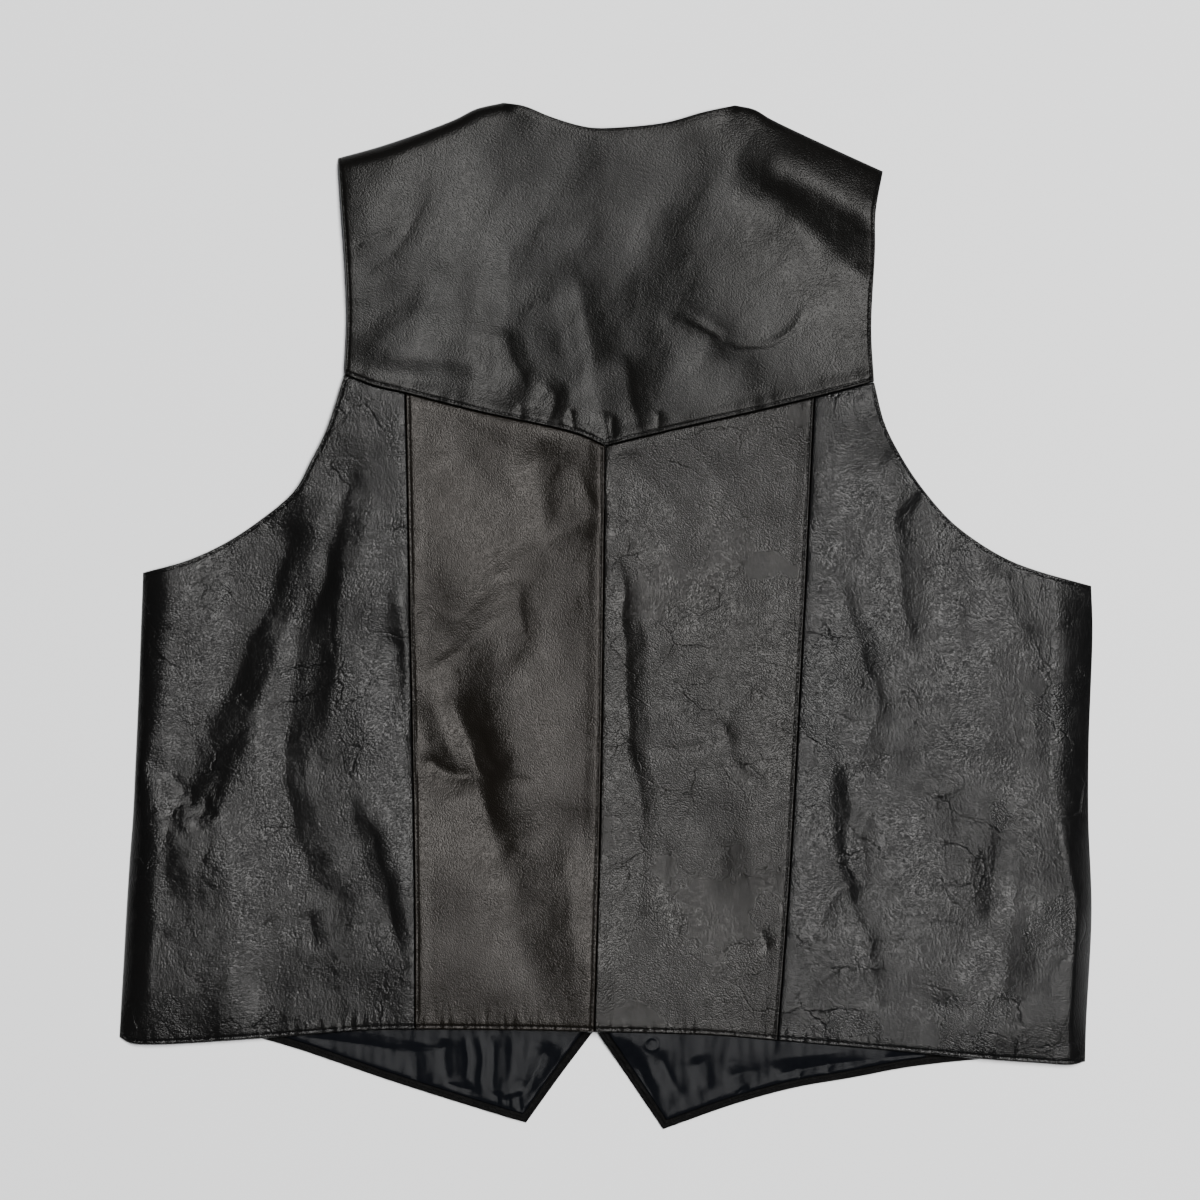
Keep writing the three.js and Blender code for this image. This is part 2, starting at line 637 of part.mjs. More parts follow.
// a lining lies on the front's own points inside its turned edge, up to a hidden line under the hem
function lining(name, frontGrid, firstColumn, lastColumn) {
  const span = frontGrid.slice(turnedLines, pointRows.length)
    .map((line) => line.slice(firstColumn, lastColumn + 1));
  const plan = drawIn(span, ['left', 'right', 'bottom', 'top']);
  const lower = plan.map((line) => line.map((point) => point.clone().add(new THREE.Vector3(0, 0, seamGap))));
  const upper = lower.map((line) => line.map((point) => point.clone().add(new THREE.Vector3(0, 0, satin))));
  return wall(name, satinLook, upper, lower);
}

function fronts() {
  const leftPlan = patch({
    left: outerRun(frontSideLeft, frontArmholeLeft),
    right: innerRun(frontPointLeft, frontEdgeLeft, frontNeckLeft),
    bottom: pointsOn(frontHemLeft, mirrored(crossShares(frontHemLeft, leftColumns))),
    top: pointsOn(frontShoulderLeft, mirrored(crossShares(frontShoulderLeft, leftColumns))),
  });
  const lastColumn = leftPlan[0].length - 1;
  const left = front(
    'front_left', leftPlan, leftFrontHeight,
    (column) => column > lastColumn - turnedLines, (column) => column === 0,
  );
  const rightPlan = patch({
    left: innerRun(frontPointRight, frontEdgeRight, frontNeckRight),
    right: outerRun(frontSideRight, frontArmholeRight),
    bottom: pointsOn(frontHemRight, crossShares(frontHemRight, rightColumns)),
    top: pointsOn(frontShoulderRight, crossShares(frontShoulderRight, rightColumns)),
  });
  const right = front(
    'front_right', rightPlan, rightFrontHeight,
    (column) => column < turnedLines, (column) => column === rightPlan[0].length - 1,
  );
  return [
    left.mesh,
    right.mesh,
    lining('front_lining_left', left.upper, liningFirstColumn, lastColumn - turnedLines),
    lining('front_lining_right', right.upper, turnedLines, rightPlan[0].length - 1 - liningFirstColumn),
  ];
}

// The press studs: a cap under both fronts, a shaft through them and a disc on top

function studs() {
  const discBottom = stud.discTop - stud.discHeight;
  const profile = [
    [0, 0], [stud.capRadius - stud.capBevel, 0], [stud.capRadius, stud.capBevelHeight],
    [stud.capRadius, stud.capHeight], [stud.shaftRadius, stud.capHeight], [stud.shaftRadius, discBottom],
    [stud.discRadius, discBottom], [stud.discRadius, stud.discTop - stud.discBevel], [0, stud.discTop],
  ];
  const outline = profile.map(([radius, z]) => new THREE.Vector2(radius, z));
  return studHeights.map((y, index) => {
    const turned = new THREE.LatheGeometry(outline, studSides);
    turned.rotateX(Math.PI / 2);
    turned.translate(closureX, y, 0);
    return solid(`stud_${index + 1}`, studLook, bare(turned));
  });
}

// The whole vest, its origin under the middle of its outline

const vest = new THREE.Group();
vest.add(...backPanels(), ...fronts(), ...studs());
const box = new THREE.Box3().setFromObject(vest);
vest.position.set(-(box.min.x + box.max.x) / 2, -(box.min.y + box.max.y) / 2, -box.min.z);

export default vest;
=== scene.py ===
import math

import bpy
import numpy as np
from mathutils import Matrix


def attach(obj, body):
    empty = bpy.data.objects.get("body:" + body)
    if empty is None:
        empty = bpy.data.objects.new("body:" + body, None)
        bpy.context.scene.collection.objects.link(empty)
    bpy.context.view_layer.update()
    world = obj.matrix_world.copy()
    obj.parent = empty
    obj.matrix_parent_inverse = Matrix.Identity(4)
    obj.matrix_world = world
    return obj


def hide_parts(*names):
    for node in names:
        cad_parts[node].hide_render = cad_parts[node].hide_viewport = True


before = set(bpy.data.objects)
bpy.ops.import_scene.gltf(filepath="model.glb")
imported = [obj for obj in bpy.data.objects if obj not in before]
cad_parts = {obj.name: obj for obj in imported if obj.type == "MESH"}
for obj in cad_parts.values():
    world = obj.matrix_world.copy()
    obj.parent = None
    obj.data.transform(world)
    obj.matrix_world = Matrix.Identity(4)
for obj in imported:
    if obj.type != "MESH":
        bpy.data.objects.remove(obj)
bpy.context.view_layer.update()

# Camera, light and table. The vest lies spread on a pale plain surface and is seen from straight above,
# under one broad soft light a little to its upper right.
MM = 0.001
VIEW_WIDTH = 816                # of the square picture, measured at the height of the vest's edges
VIEW_CENTRE = (-4.1, 10.8)
CAMERA_HEIGHT = 12000
EDGE_LEVEL = 5
LIGHT_PLACE = (1.32, 0.95, 6.0)
LIGHT_SIZE = (1.9, 4.4)
LIGHT_POWER = 885
SKY_TOP = (0.34, 0.35, 0.37)
SKY_LOW = (0.030, 0.032, 0.036)
SKY_LOW_AT = 0.15
SKY_TOP_AT = 0.95
SKY_STRENGTH = 0.42
TABLE_SIZE = 6
TABLE_DROP = 0.0002
TABLE_COLOUR = (0.80, 0.80, 0.795)
TABLE_SHADE = (0.78, 0.785, 0.79)


def new_material(name):
    """A material with an empty node tree but for its shader, and a function that adds nodes to it."""
    material = bpy.data.materials.new(name)
    material.use_nodes = True
    tree = material.node_tree
    shader = tree.nodes["Principled BSDF"]

    def add(kind, settings=None, **sockets):
        node = tree.nodes.new(kind)
        for field, value in (settings or {}).items():
            setattr(node, field, value)
        for socket, value in sockets.items():
            wire(value, node.inputs[socket.replace("_", " ")])
        return node

    def wire(value, socket):
        if isinstance(value, bpy.types.NodeSocket):
            tree.links.new(value, socket)
        else:
            socket.default_value = value

    return material, shader, add, wire


def tone_between(shader, add, wire, share, dark, pale):
    """Gives a material a colour that goes from a dark to a pale one with a noise."""
    tone = add("ShaderNodeMix", {"data_type": "RGBA"})
    wire(share.outputs["Fac"], tone.inputs[0])
    wire((*dark, 1), tone.inputs[6])
    wire((*pale, 1), tone.inputs[7])
    wire(tone.outputs[2], shader.inputs["Base Color"])


bpy.ops.object.select_all(action="DESELECT")
bpy.ops.object.camera_add(
    location=(VIEW_CENTRE[0] * MM, VIEW_CENTRE[1] * MM, CAMERA_HEIGHT * MM), rotation=(0, 0, 0))
camera = bpy.context.object
camera.name = "camera"
camera.data.sensor_fit = "HORIZONTAL"
camera.data.angle = 2 * math.atan(VIEW_WIDTH / 2 / (CAMERA_HEIGHT - EDGE_LEVEL))
camera.data.clip_start = 0.01
bpy.context.scene.camera = camera

bpy.ops.object.light_add(type="AREA", location=LIGHT_PLACE)
light = bpy.context.object
light.name = "broad_soft_light"
light.data.shape = "RECTANGLE"
light.data.size, light.data.size_y = LIGHT_SIZE
light.data.energy = LIGHT_POWER
light.visible_camera = False

world = bpy.data.worlds.new("studio")
bpy.context.scene.world = world
world.use_nodes = True
sky = world.node_tree
sky_place = sky.nodes.new("ShaderNodeTexCoord")
sky_split = sky.nodes.new("ShaderNodeSeparateXYZ")
sky_ramp = sky.nodes.new("ShaderNodeValToRGB")
sky_ramp.color_ramp.elements[0].position = SKY_LOW_AT
sky_ramp.color_ramp.elements[0].color = (*SKY_LOW, 1)
sky_ramp.color_ramp.elements[1].position = SKY_TOP_AT
sky_ramp.color_ramp.elements[1].color = (*SKY_TOP, 1)
sky.links.new(sky_place.outputs["Generated"], sky_split.inputs[0])
sky.links.new(sky_split.outputs["Z"], sky_ramp.inputs[0])
sky.links.new(sky_ramp.outputs[0], sky.nodes["Background"].inputs["Color"])
sky.nodes["Background"].inputs["Strength"].default_value = SKY_STRENGTH

bpy.ops.mesh.primitive_plane_add(size=TABLE_SIZE, location=(0, 0, -TABLE_DROP))
table = bpy.context.object
table.name = "table"
table.data.transform(table.matrix_world)
table.matrix_world.identity()
table_paint, table_shader, add, wire = new_material("pale_table")
table_place = add("ShaderNodeTexCoord")
table_tone = add("ShaderNodeTexNoise", Vector=table_place.outputs["Object"], Scale=1.4, Detail=2.0)
tone_between(table_shader, add, wire, table_tone, TABLE_COLOUR, TABLE_SHADE)
wire(0.6, table_shader.inputs["Roughness"])
table.data.materials.append(table_paint)

# The back of the vest: a yoke over four long panels of soft black cow leather, each about 1.2 mm thick.
# Their edges are turned under and topstitched. First come the lines that they are cut and sewn along,
# in millimetres, +Y to the neck.
LEATHER = 1.2
LINE_STEP = 3.0
SPAN_STEPS = 16
ORIGIN = np.array([-0.3896, -0.1])     # the tables' own zero, seen from the middle of the outline


def smooth_line(points):
    """A smooth line through points: centripetal Catmull-Rom, as evenly spaced points."""
    points = np.array(points, float)
    first = 2 * points[0] - points[1]
    last = 2 * points[-1] - points[-2]
    padded = np.vstack([first, points, last])
    spans = []
    for before, start, end, after in zip(padded, padded[1:], padded[2:], padded[3:]):
        gap_before, gap, gap_after = (
            math.sqrt(math.dist(*pair)) for pair in ((before, start), (start, end), (end, after)))
        leave = (start - before) / gap_before - (end - before) / (gap_before + gap) + (end - start) / gap
        arrive = (end - start) / gap - (after - start) / (gap + gap_after) + (after - end) / gap_after
        leave, arrive = leave * gap, arrive * gap
        t = np.linspace(0, 1, SPAN_STEPS, endpoint=False)[:, None]
        spans.append(start + leave * t + (3 * (end - start) - 2 * leave - arrive) * t ** 2
                     + (2 * (start - end) + leave + arrive) * t ** 3)
    return evened(np.vstack([*spans, points[-1:]]), LINE_STEP)


def length_of(line):
    return float(np.linalg.norm(np.diff(line, axis=0), axis=1).sum())


def places_on(line, shares):
    """Points at shares of a line's length."""
    steps = np.linalg.norm(np.diff(line, axis=0), axis=1)
    along = np.concatenate([[0], np.cumsum(steps)]) / steps.sum()
    return np.column_stack([np.interp(shares, along, line[:, axis]) for axis in range(2)])


def evened(line, step):
    return places_on(line, np.linspace(0, 1, max(2, round(length_of(line) / step)) + 1))


def joined(*lines):
    return np.vstack([lines[0], *(line[1:] for line in lines[1:])])


armhole_left_low = smooth_line([
    (-314.5, 29.5), (-284.5, 37.8), (-260.2, 48.8), (-235.9, 64.5), (-211.6, 85.2), (-199.5, 107),
    (-189.8, 126.5), (-177.4, 164.2)])
armhole_left_high = smooth_line([
    (-177.4, 164.2), (-175.7, 206.7), (-177.1, 243), (-179.6, 279.5), (-181.9, 311.5)])
armhole_right_low = smooth_line([
    (330.5, 20.5), (294.5, 30.5), (275.1, 37.8), (255.6, 48.8), (235, 64.5), (216.8, 85.2),
    (203.4, 104.7), (190.1, 130.2), (182.6, 159.2)])
armhole_right_high = smooth_line([
    (182.6, 159.2), (180.8, 194.5), (183.3, 247.9), (183.8, 275), (188.8, 302.5)])
shoulder_left = smooth_line([
    (-181.9, 311.5), (-153.3, 319.5), (-126.6, 328.5), (-102.3, 337.8), (-87.8, 345), (-69.5, 349.2)])
neck = smooth_line([
    (-69.5, 349.2), (-55.3, 346.9), (-36.4, 339.3), (-11.3, 332.4), (10.3, 332.4), (41.8, 335.9),
    (66.2, 342.7), (88.1, 347.5)])
shoulder_right = smooth_line([
    (88.1, 347.5), (101.4, 344.6), (112.3, 338.2), (148.8, 320.8), (188.8, 302.5)])
side_left = smooth_line([
    (-330.6, -286.5), (-328.7, -253.4), (-323.8, -168.4), (-321.4, -136.7), (-317.3, -46.9),
    (-314.5, 29.5)])
side_right = smooth_line([
    (326.3, -303), (327.1, -276.4), (330.8, -200.9), (328.6, -138), (328.8, -87.7), (331.4, -10),
    (330.5, 20.5)])
hem_side_left = smooth_line([
    (-330.6, -286.5), (-323.3, -290.6), (-308.8, -291.7), (-233.5, -287.4), (-163.1, -282),
    (-129.5, -281.2)])
hem_centre_left = smooth_line([(-129.5, -281.2), (-41.6, -282), (-7.6, -283)])
hem_centre_right = smooth_line([(-7.6, -283), (71.7, -285.2), (117, -289)])
hem_side_right = smooth_line([
    (117, -289), (197.5, -296), (257.9, -301.5), (293.1, -304), (318, -305.2), (326.3, -303)])
princess_left = smooth_line([(-129.5, -281.2), (-129.8, -180.5), (-132.7, -16.3), (-136, 151.6)])
centre_seam = smooth_line([(-7.6, -283), (-4, -156.2), (-1.6, -16.3), (-0.3, 115.5)])
princess_right = smooth_line([(117, -289), (124.6, -188.4), (134.2, -16.3), (142, 148.6)])
yoke_side_left = smooth_line([(-177.4, 164.2), (-158.2, 156.8), (-136, 151.6)])
yoke_centre_left = smooth_line([(-136, 151.6), (-90.2, 139.8), (-19.8, 124), (-0.3, 115.5)])
yoke_centre_right = smooth_line([(-0.3, 115.5), (29.8, 122.8), (105.1, 139.8), (142, 148.6)])
yoke_side_right = smooth_line([(142, 148.6), (162, 153.7), (182.6, 159.2)])
yoke_seam = joined(yoke_side_left, yoke_centre_left, yoke_centre_right, yoke_side_right)
hem = joined(hem_side_left, hem_centre_left, hem_centre_right, hem_side_right)

# How the back lies. It stands a few millimetres over the table on the fronts, turns down to the table in a
# roll at its sides and shoulders, and keeps the folds and creases of having been worn and packed.
MIDDLE_HEIGHT = 9.0
HEM_HEIGHT = 5.6
NECK_HEIGHT = 7
ARMHOLE_HEIGHT = 7.5
EDGE_REACH = 35
SIDE_LIFT = 3.8
SIDE_REACH = 45
FLOOR_GAP = 0.3
ROLL_LEFT = 20
ROLL_RIGHT_HIGH = 27
ROLL_RIGHT_LOW = 11
ROLL_RIGHT_FROM = -220
ROLL_RIGHT_TO = -85
ROLL_SHOULDER_LEFT = 10
ROLL_SHOULDER_RIGHT = 34
ROLL_POWER_LEFT = 1.6           # 2 is a round roll, 1 a slope, more than 2 flat with a tight turn
ROLL_POWER_RIGHT = 1.2
ROLL_POWER_SHOULDER = 1.8
CLOSURE_X = -6
CLOSURE_BULGE = 1.2
CLOSURE_REACH = 14
HEM_BULGE = 2.2
HEM_BULGE_REACH = 32
CLOSURE_TOP = 70
LOWEST = 3.0                    # the outer face over one front, and what a second one adds
LOWEST_OVERLAP = 3.4
LOWEST_ROUND = 0.4
OVERLAP_REACH = 34
NECK_FADE = 110
FOLD_SPANS = 10
FOLD_TAPER = 0.28
FOLD_WANDER = 3.0               # how far the folds stray from their smooth ways, over what length
FOLD_WANDER_SIZE = 26
FOLD_FADE_FROM = 1.5            # reaches from its way at which a fold starts to end, and ends
FOLD_FADE_TO = 3
SWELL = 1.5                     # broad unevenness between the folds, and its size
SWELL_SIZE = 95
RIPPLE = 0.75
RIPPLE_SIZE = 44
CREASE_SOFTNESS = 0.045         # of a trough's bottom, for each millimetre of its reach
CREASE_SOFTEST = 0.75
LATTICE = 64
WAVE_GAIN = 1.6
CREASE_BEND = 0.35              # how far a net of creases strays, as a share of its size
CREASE_SLOPE = 0.4
CREASE_BREAKS = (-0.3, 0.5)     # the waves between which a net is broken off and whole
CRUMPLE_WIDTH = 1.1

# Each fold is a crest (rise above 0) or a trough from one end over a middle to the other end, with its
# reach to each side of that way: x1, y1, xm, ym, x2, y2, rise, left, right.
FOLDS = [
    # left side panel
    (-304, -147, -249, -22, -206, 105, -7, 33, 12),
    (-258, -125, -215, 11, -185, 99, 1.6, 10, 9),
    (-292, 38, -276, -16, -278, -98, 1.6, 12, 16),
    (-166, 126, -187, 52, -208, -35, -2.25, 8, 18),
    (-202, 38, -212, -35, -219, -118, -2.1, 7, 18),
    (-221, -57, -216, -125, -198, -185, -1.8, 7, 16),
    (-209, -158, -191, -188, -160, -199, -0.975, 8, 15),
    (-171, 92, -181, -10, -190, -112, 2, 26, 6),
    (-147, -6, -140, -44, -133, -91, -1.65, 5, 11),
    (-167, -105, -153, -159, -144, -207, 1.8, 12, 5),
    (-163, -135, -151, -180, -138, -241, -1.95, 4, 11),
    (-291, -112, -299, -159, -291, -210, -1.5, 5, 14),
    (-257, -302, -258, -214, -259, -125, 2.9, 46, 12),
    (-318, -98, -293, -113, -265, -140, -2.1, 7, 14),
    (-255, -268, -187, -251, -126, -268, -1.05, 20, 14),
    (-204, -197, -199, -212, -195, -228, -0.9, 4, 8.8),
    (-276, -101, -240, -72, -197, -45, -0.6, 3, 4),
    (-185, 7, -185, -11, -184, -33, -0.5, 2, 3),
    # centre left panel
    (-136, 11, -130, -50, -123, -112, -1.95, 8, 14),
    (-138, 38, -137, -30, -134, -98, 1.6, 5, 5),
    (-118, 120, -81, 90, -39, 48, -1.8, 14, 18),
    (-40, 45, -46, 87, -47, 126, -2.4, 7, 13),
    (-20, 106, -12, 82, 0, 58, -1.2, 6, 11),
    (-89, 18, -51, 41, -4, 75, -1.7, 7, 14),
    (-60, 26, -58, 5, -54, -18, -0.9, 5, 11),
    (-130, -50, -91, -17, -51, 16, -1.8, 7, 13),
    (-126, -50, -85, -31, -45, -16, -1.5, 7, 16),
    (-113, 38, -99, 11, -113, -16, 1.2, 12, 12),
    (-77, -125, -96, -82, -108, -41, -2.6, 5, 11),
    (-126, -129, -128, -88, -129, -48, -1.8, 4, 30),
    (-88, -75, -81, -92, -70, -110, -1.35, 5, 11),
    (-128, -92, -108, -107, -83, -110, -2.2, 7, 7),
    (-92, -110, -68, -112, -45, -113, -0.8, 3, 3),
    (-69, -184, -80, -137, -98, -95, -2.6, 9, 11),
    (-47, -261, -61, -207, -70, -159, -1.2, 12, 14),
    (-16, -329, -23, -234, -30, -139, 4.4, 92, 14),
    (-58, 11, -62, -78, -65, -166, 2.6, 48, 20),
    # centre right panel
    (17, -118, 15, -27, 7, 58, -1.8, 7, 5),
    (4, 38, 8, 79, 11, 120, -1.3, 5, 11),
    (19, -78, 22, -114, 30, -159, -1.12, 4, 11),
    (23, -139, 23, -180, 15, -220, -1.12, 7, 12),
    (40, -143, 42, -173, 46, -207, -0.9, 5, 10),
    (8, 120, 30, 90, 64, 54, -1.6, 10, 12),
    (23, 38, 64, 58, 132, 65, -1.2, 16, 9),
    (23, -95, 51, -90, 76, -83, -0.8, 4, 3),
    (30, -53, 48, -57, 67, -65, -0.7, 3, 4),
    (82, -71, 96, -50, 112, -30, -0.6, 8.8, 4),
    (79, -90, 91, -103, 112, -121, -0.675, 4, 8.8),
    (79, -68, 82, -80, 85, -92, -0.975, 5, 10),
    (64, -220, 66, -159, 42, -118, -1.5, 14, 16),
    (29, 38, 33, -54, 37, -146, 2, 52, 12),
    (104, -211, 108, -220, 112, -231, -0.8, 3, 3),
    (104, -16, 102, -118, 101, -220, 1.4, 17, 14),
    # right side panel
    (189, 120, 203, 94, 218, 79, -1.5, 8, 16),
    (199, 113, 200, 38, 210, -37, -1.8, 6, 14),
    (158, 38, 170, -15, 188, -53, -1.65, 5, 15),
    (185, -33, 180, -78, 161, -112, -1.5, 6, 12),
    (268, 45, 275, 7, 286, -23, -1.5, 6, 12),
    (261, -118, 261, -54, 260, 11, -2.5, 12, 20),
    (250, 38, 243, 3, 244, -30, -0.975, 5, 10),
    (161, -102, 221, -92, 302, -94, -0.9, 3, 4),
    (161, -84, 151, -125, 162, -180, -0.825, 6, 12),
    (166, -91, 166, -139, 166, -186, 1.6, 5, 5),
    (170, -125, 174, -159, 178, -193, -1.35, 5, 11),
    (169, -171, 154, -194, 132, -219, -1.95, 6, 16),
    (161, -170, 172, -205, 184, -254, -1.12, 5, 11),
    (184, -234, 185, -254, 183, -272, -0.975, 7, 12),
    (238, -227, 227, -159, 217, -91, -1.9, 14, 20),
    (247, -146, 249, -185, 253, -220, -0.6, 6, 12),
    (189, -242, 240, -268, 276, -248, -1.35, 9, 12),
    (275, -319, 286, -248, 297, -176, 3.2, 58, 17),
    (267, -268, 276, -214, 282, -125, -2.3, 12, 12),
    (280, -105, 270, -166, 255, -220, 1.3, 14, 8),
    (329, -180, 305, -193, 286, -200, -1.2, 9, 9),
    (329, -180, 313, -244, 302, -302, 1, 6, 6),
    (147, -3, 157, -44, 168, -78, -1.05, 9, 15),
    (138, 46, 157, 52, 181, 41, -0.9, 8, 6),
    (309, 99, 312, -23, 309, -125, 1, 14, 10),
    # yoke
    (82, 310, 155, 245, 227, 180, -3.8, 13, 30),
    (123, 268, 174, 234, 241, 209, -3, 20, 18),
    (91, 317, 146, 292, 221, 258, 5, 17, 14),
    (-108, 243, -141, 216, -187, 180, -0.5, 6, 9),
    (-176, 166, -137, 197, -104, 223, 1, 7, 14),
    (-181, 235, -145, 248, -117, 306, -0.75, 10, 5),
    (-183, 250, -162, 256, -137, 268, -0.7, 4, 4),
    (-159, 165, -119, 177, -58, 156, 1.1, 8, 5),
    (-147, 158, -99, 159, -45, 141, -0.75, 8, 7),
    (-89, 133, -60, 239, -31, 344, -3.2, 50, 62),
    (-76, 126, -69, 194, -62, 262, -2.2, 8, 30),
    (2, 116, -9, 181, -20, 246, -1.7, 8, 18),
    (189, 92, 184, 194, 178, 296, 6.6, 110, 14),
    (-174, 194, -174, 262, -172, 330, 2.2, 8, 40),
    (-66, 201, -64, 175, -49, 147, -1.35, 5, 14),
    (-53, 158, -34, 147, -50, 125, -1.35, 4, 11),
    (15, 181, 17, 148, 28, 114, -1.5, 5, 12),
    (-2, 141, -1, 129, 0, 116, -0.9, 4, 8.8),
    (3, 290, 44, 241, 85, 192, -0.8, 20, 26),
    (33, 211, 57, 192, 87, 177, -0.675, 8, 6),
    (57, 181, 78, 173, 112, 170, -0.9, 10, 10),
    (48, 207, 66, 194, 81, 189, 0.55, 2.4, 1.4),
    (79, 189, 111, 186, 142, 215, 0.55, 2.4, 1.4),
    # puckers where the yoke is eased on to the panels
    (-57, 146, -56, 139, -57, 132, -0.8, 2.4, 2.4),
    (-23, 141, -22, 133, -21, 124, -0.8, 2.4, 2.4),
    (6, 137, 5, 128, 4, 120, -1, 3, 3),
    (36, 141, 36, 133, 37, 124, -0.8, 3, 3),
]

# Crumpled places, as small creases close together: x, y, half width, half height, depth, crease size
CRUMPLES = [
    (-304, -104, 14, 10, 0.55, 7),
    (-286, -130, 22, 12, 0.7, 8),
    (-262, -165, 20, 26, 0.4, 9),
    (-285, -200, 18, 40, 0.35, 10),
    (-265, -78, 26, 16, 0.3, 9),
    (160, 40, 34, 14, 0.3, 8),
    (78, -84, 18, 14, 0.45, 8),
    (166, -98, 14, 16, 0.4, 8),
    (138, -72, 10, 18, 0.35, 6),
    (228, -74, 22, 10, 0.25, 7),
    (-140, -40, 14, 40, 0.25, 8),
    (320, -188, 12, 9, 0.35, 6),
]


def smoothstep(value, low, high):
    share = np.clip((value - low) / (high - low), 0, 1)
    return share * share * (3 - 2 * share)


def bell(share):
    return np.exp(-0.5 * share ** 2)


def rolled(share, power=2):
    """The round of a rolled edge: 0 at the edge, 1 where the roll ends."""
    return (1 - (1 - np.clip(share, 0, 1)) ** power) ** (1 / power)


def waves(x, y, size, seed):
    """Smooth uneven waves between about -1 and 1, with crests about size apart."""
    angles = np.random.RandomState(seed).uniform(0, 2 * math.pi, (LATTICE, LATTICE))
    across = x / size + LATTICE / 2
    up = y / size + LATTICE / 2
    column = np.floor(across).astype(int)
    row = np.floor(up).astype(int)
    a = across - column
    b = up - row

    def corner(right, above):
        angle = angles[(column + right) % LATTICE, (row + above) % LATTICE]
        return np.cos(angle) * (a - right) + np.sin(angle) * (b - above)

    fade_a = smoothstep(a, 0, 1)
    fade_b = smoothstep(b, 0, 1)
    low = corner(0, 0) * (1 - fade_a) + corner(1, 0) * fade_a
    high = corner(0, 1) * (1 - fade_a) + corner(1, 1) * fade_a
    return WAVE_GAIN * (low * (1 - fade_b) + high * fade_b)


def nearest_on(line, x, y):
    """How far off a line's nearest place is, how far along it (0 to 1), and on which side."""
    off = np.full(x.shape, np.inf)
    share = np.zeros(x.shape)
    side = np.zeros(x.shape)
    spans = len(line) - 1
    for span, (start, end) in enumerate(zip(line, line[1:])):
        way = end - start
        step = np.clip(((x - start[0]) * way[0] + (y - start[1]) * way[1]) / (way @ way), 0, 1)
        off_x = x - start[0] - step * way[0]
        off_y = y - start[1] - step * way[1]
        distance = np.hypot(off_x, off_y)
        closer = distance < off
        off[closer] = distance[closer]
        share[closer] = (span + step[closer]) / spans
        side[closer] = (way[0] * off_y - way[1] * off_x)[closer]
    return off, share, side


def fold_height(fold, x, y):
    """A fold's height: a crest is round, a trough comes to a soft crease with slopes that die away."""
    x1, y1, xm, ym, x2, y2, rise, left, right = fold
    t = np.linspace(0, 1, FOLD_SPANS + 1)[:, None]
    start, middle, end = np.array([[x1, y1], [xm, ym], [x2, y2]], float)
    handle = 2 * middle - (start + end) / 2
    way = start * (1 - t) ** 2 + handle * 2 * t * (1 - t) + end * t ** 2
    height = np.zeros(x.shape)
    margin = FOLD_FADE_TO * max(left, right)
    low = way.min(0) - margin
    high = way.max(0) + margin
    near = (x > low[0]) & (x < high[0]) & (y > low[1]) & (y < high[1])
    off, share, side = nearest_on(way, x[near], y[near])
    ends = smoothstep(share, 0, FOLD_TAPER) * smoothstep(1 - share, 0, FOLD_TAPER)
    off /= np.where(side > 0, left, right)
    if rise > 0:
        profile = bell(off)
    else:
        soft = min(CREASE_SOFTEST, CREASE_SOFTNESS * (left + right) / 2)
        profile = np.exp(soft - np.sqrt(off ** 2 + soft ** 2))
    profile *= 1 - smoothstep(off, FOLD_FADE_FROM, FOLD_FADE_TO)
    height[near] = rise * ends * profile
    return height


def creases(x, y, size, seed, width):
    """A broken net of sharp creases about size apart, from 0 down to -1, each a width to both sides."""
    bent_x = x + CREASE_BEND * size * waves(x, y, size * 0.7, seed + 1)
    bent_y = y + CREASE_BEND * size * waves(x, y, size * 0.7, seed + 2)
    off = np.abs(waves(bent_x, bent_y, size, seed)) * size * CREASE_SLOPE
    return -np.exp(-off / width) * smoothstep(waves(x, y, size * 0.9, seed + 3), *CREASE_BREAKS)


def crumple_height(x, y):
    height = np.zeros(x.shape)
    for index, (at_x, at_y, half_width, half_height, depth, size) in enumerate(CRUMPLES):
        inside = bell(np.hypot((x - at_x) / half_width, (y - at_y) / half_height))
        height += depth * inside * creases(x, y, size, 200 + 5 * index, CRUMPLE_WIDTH)
    return height


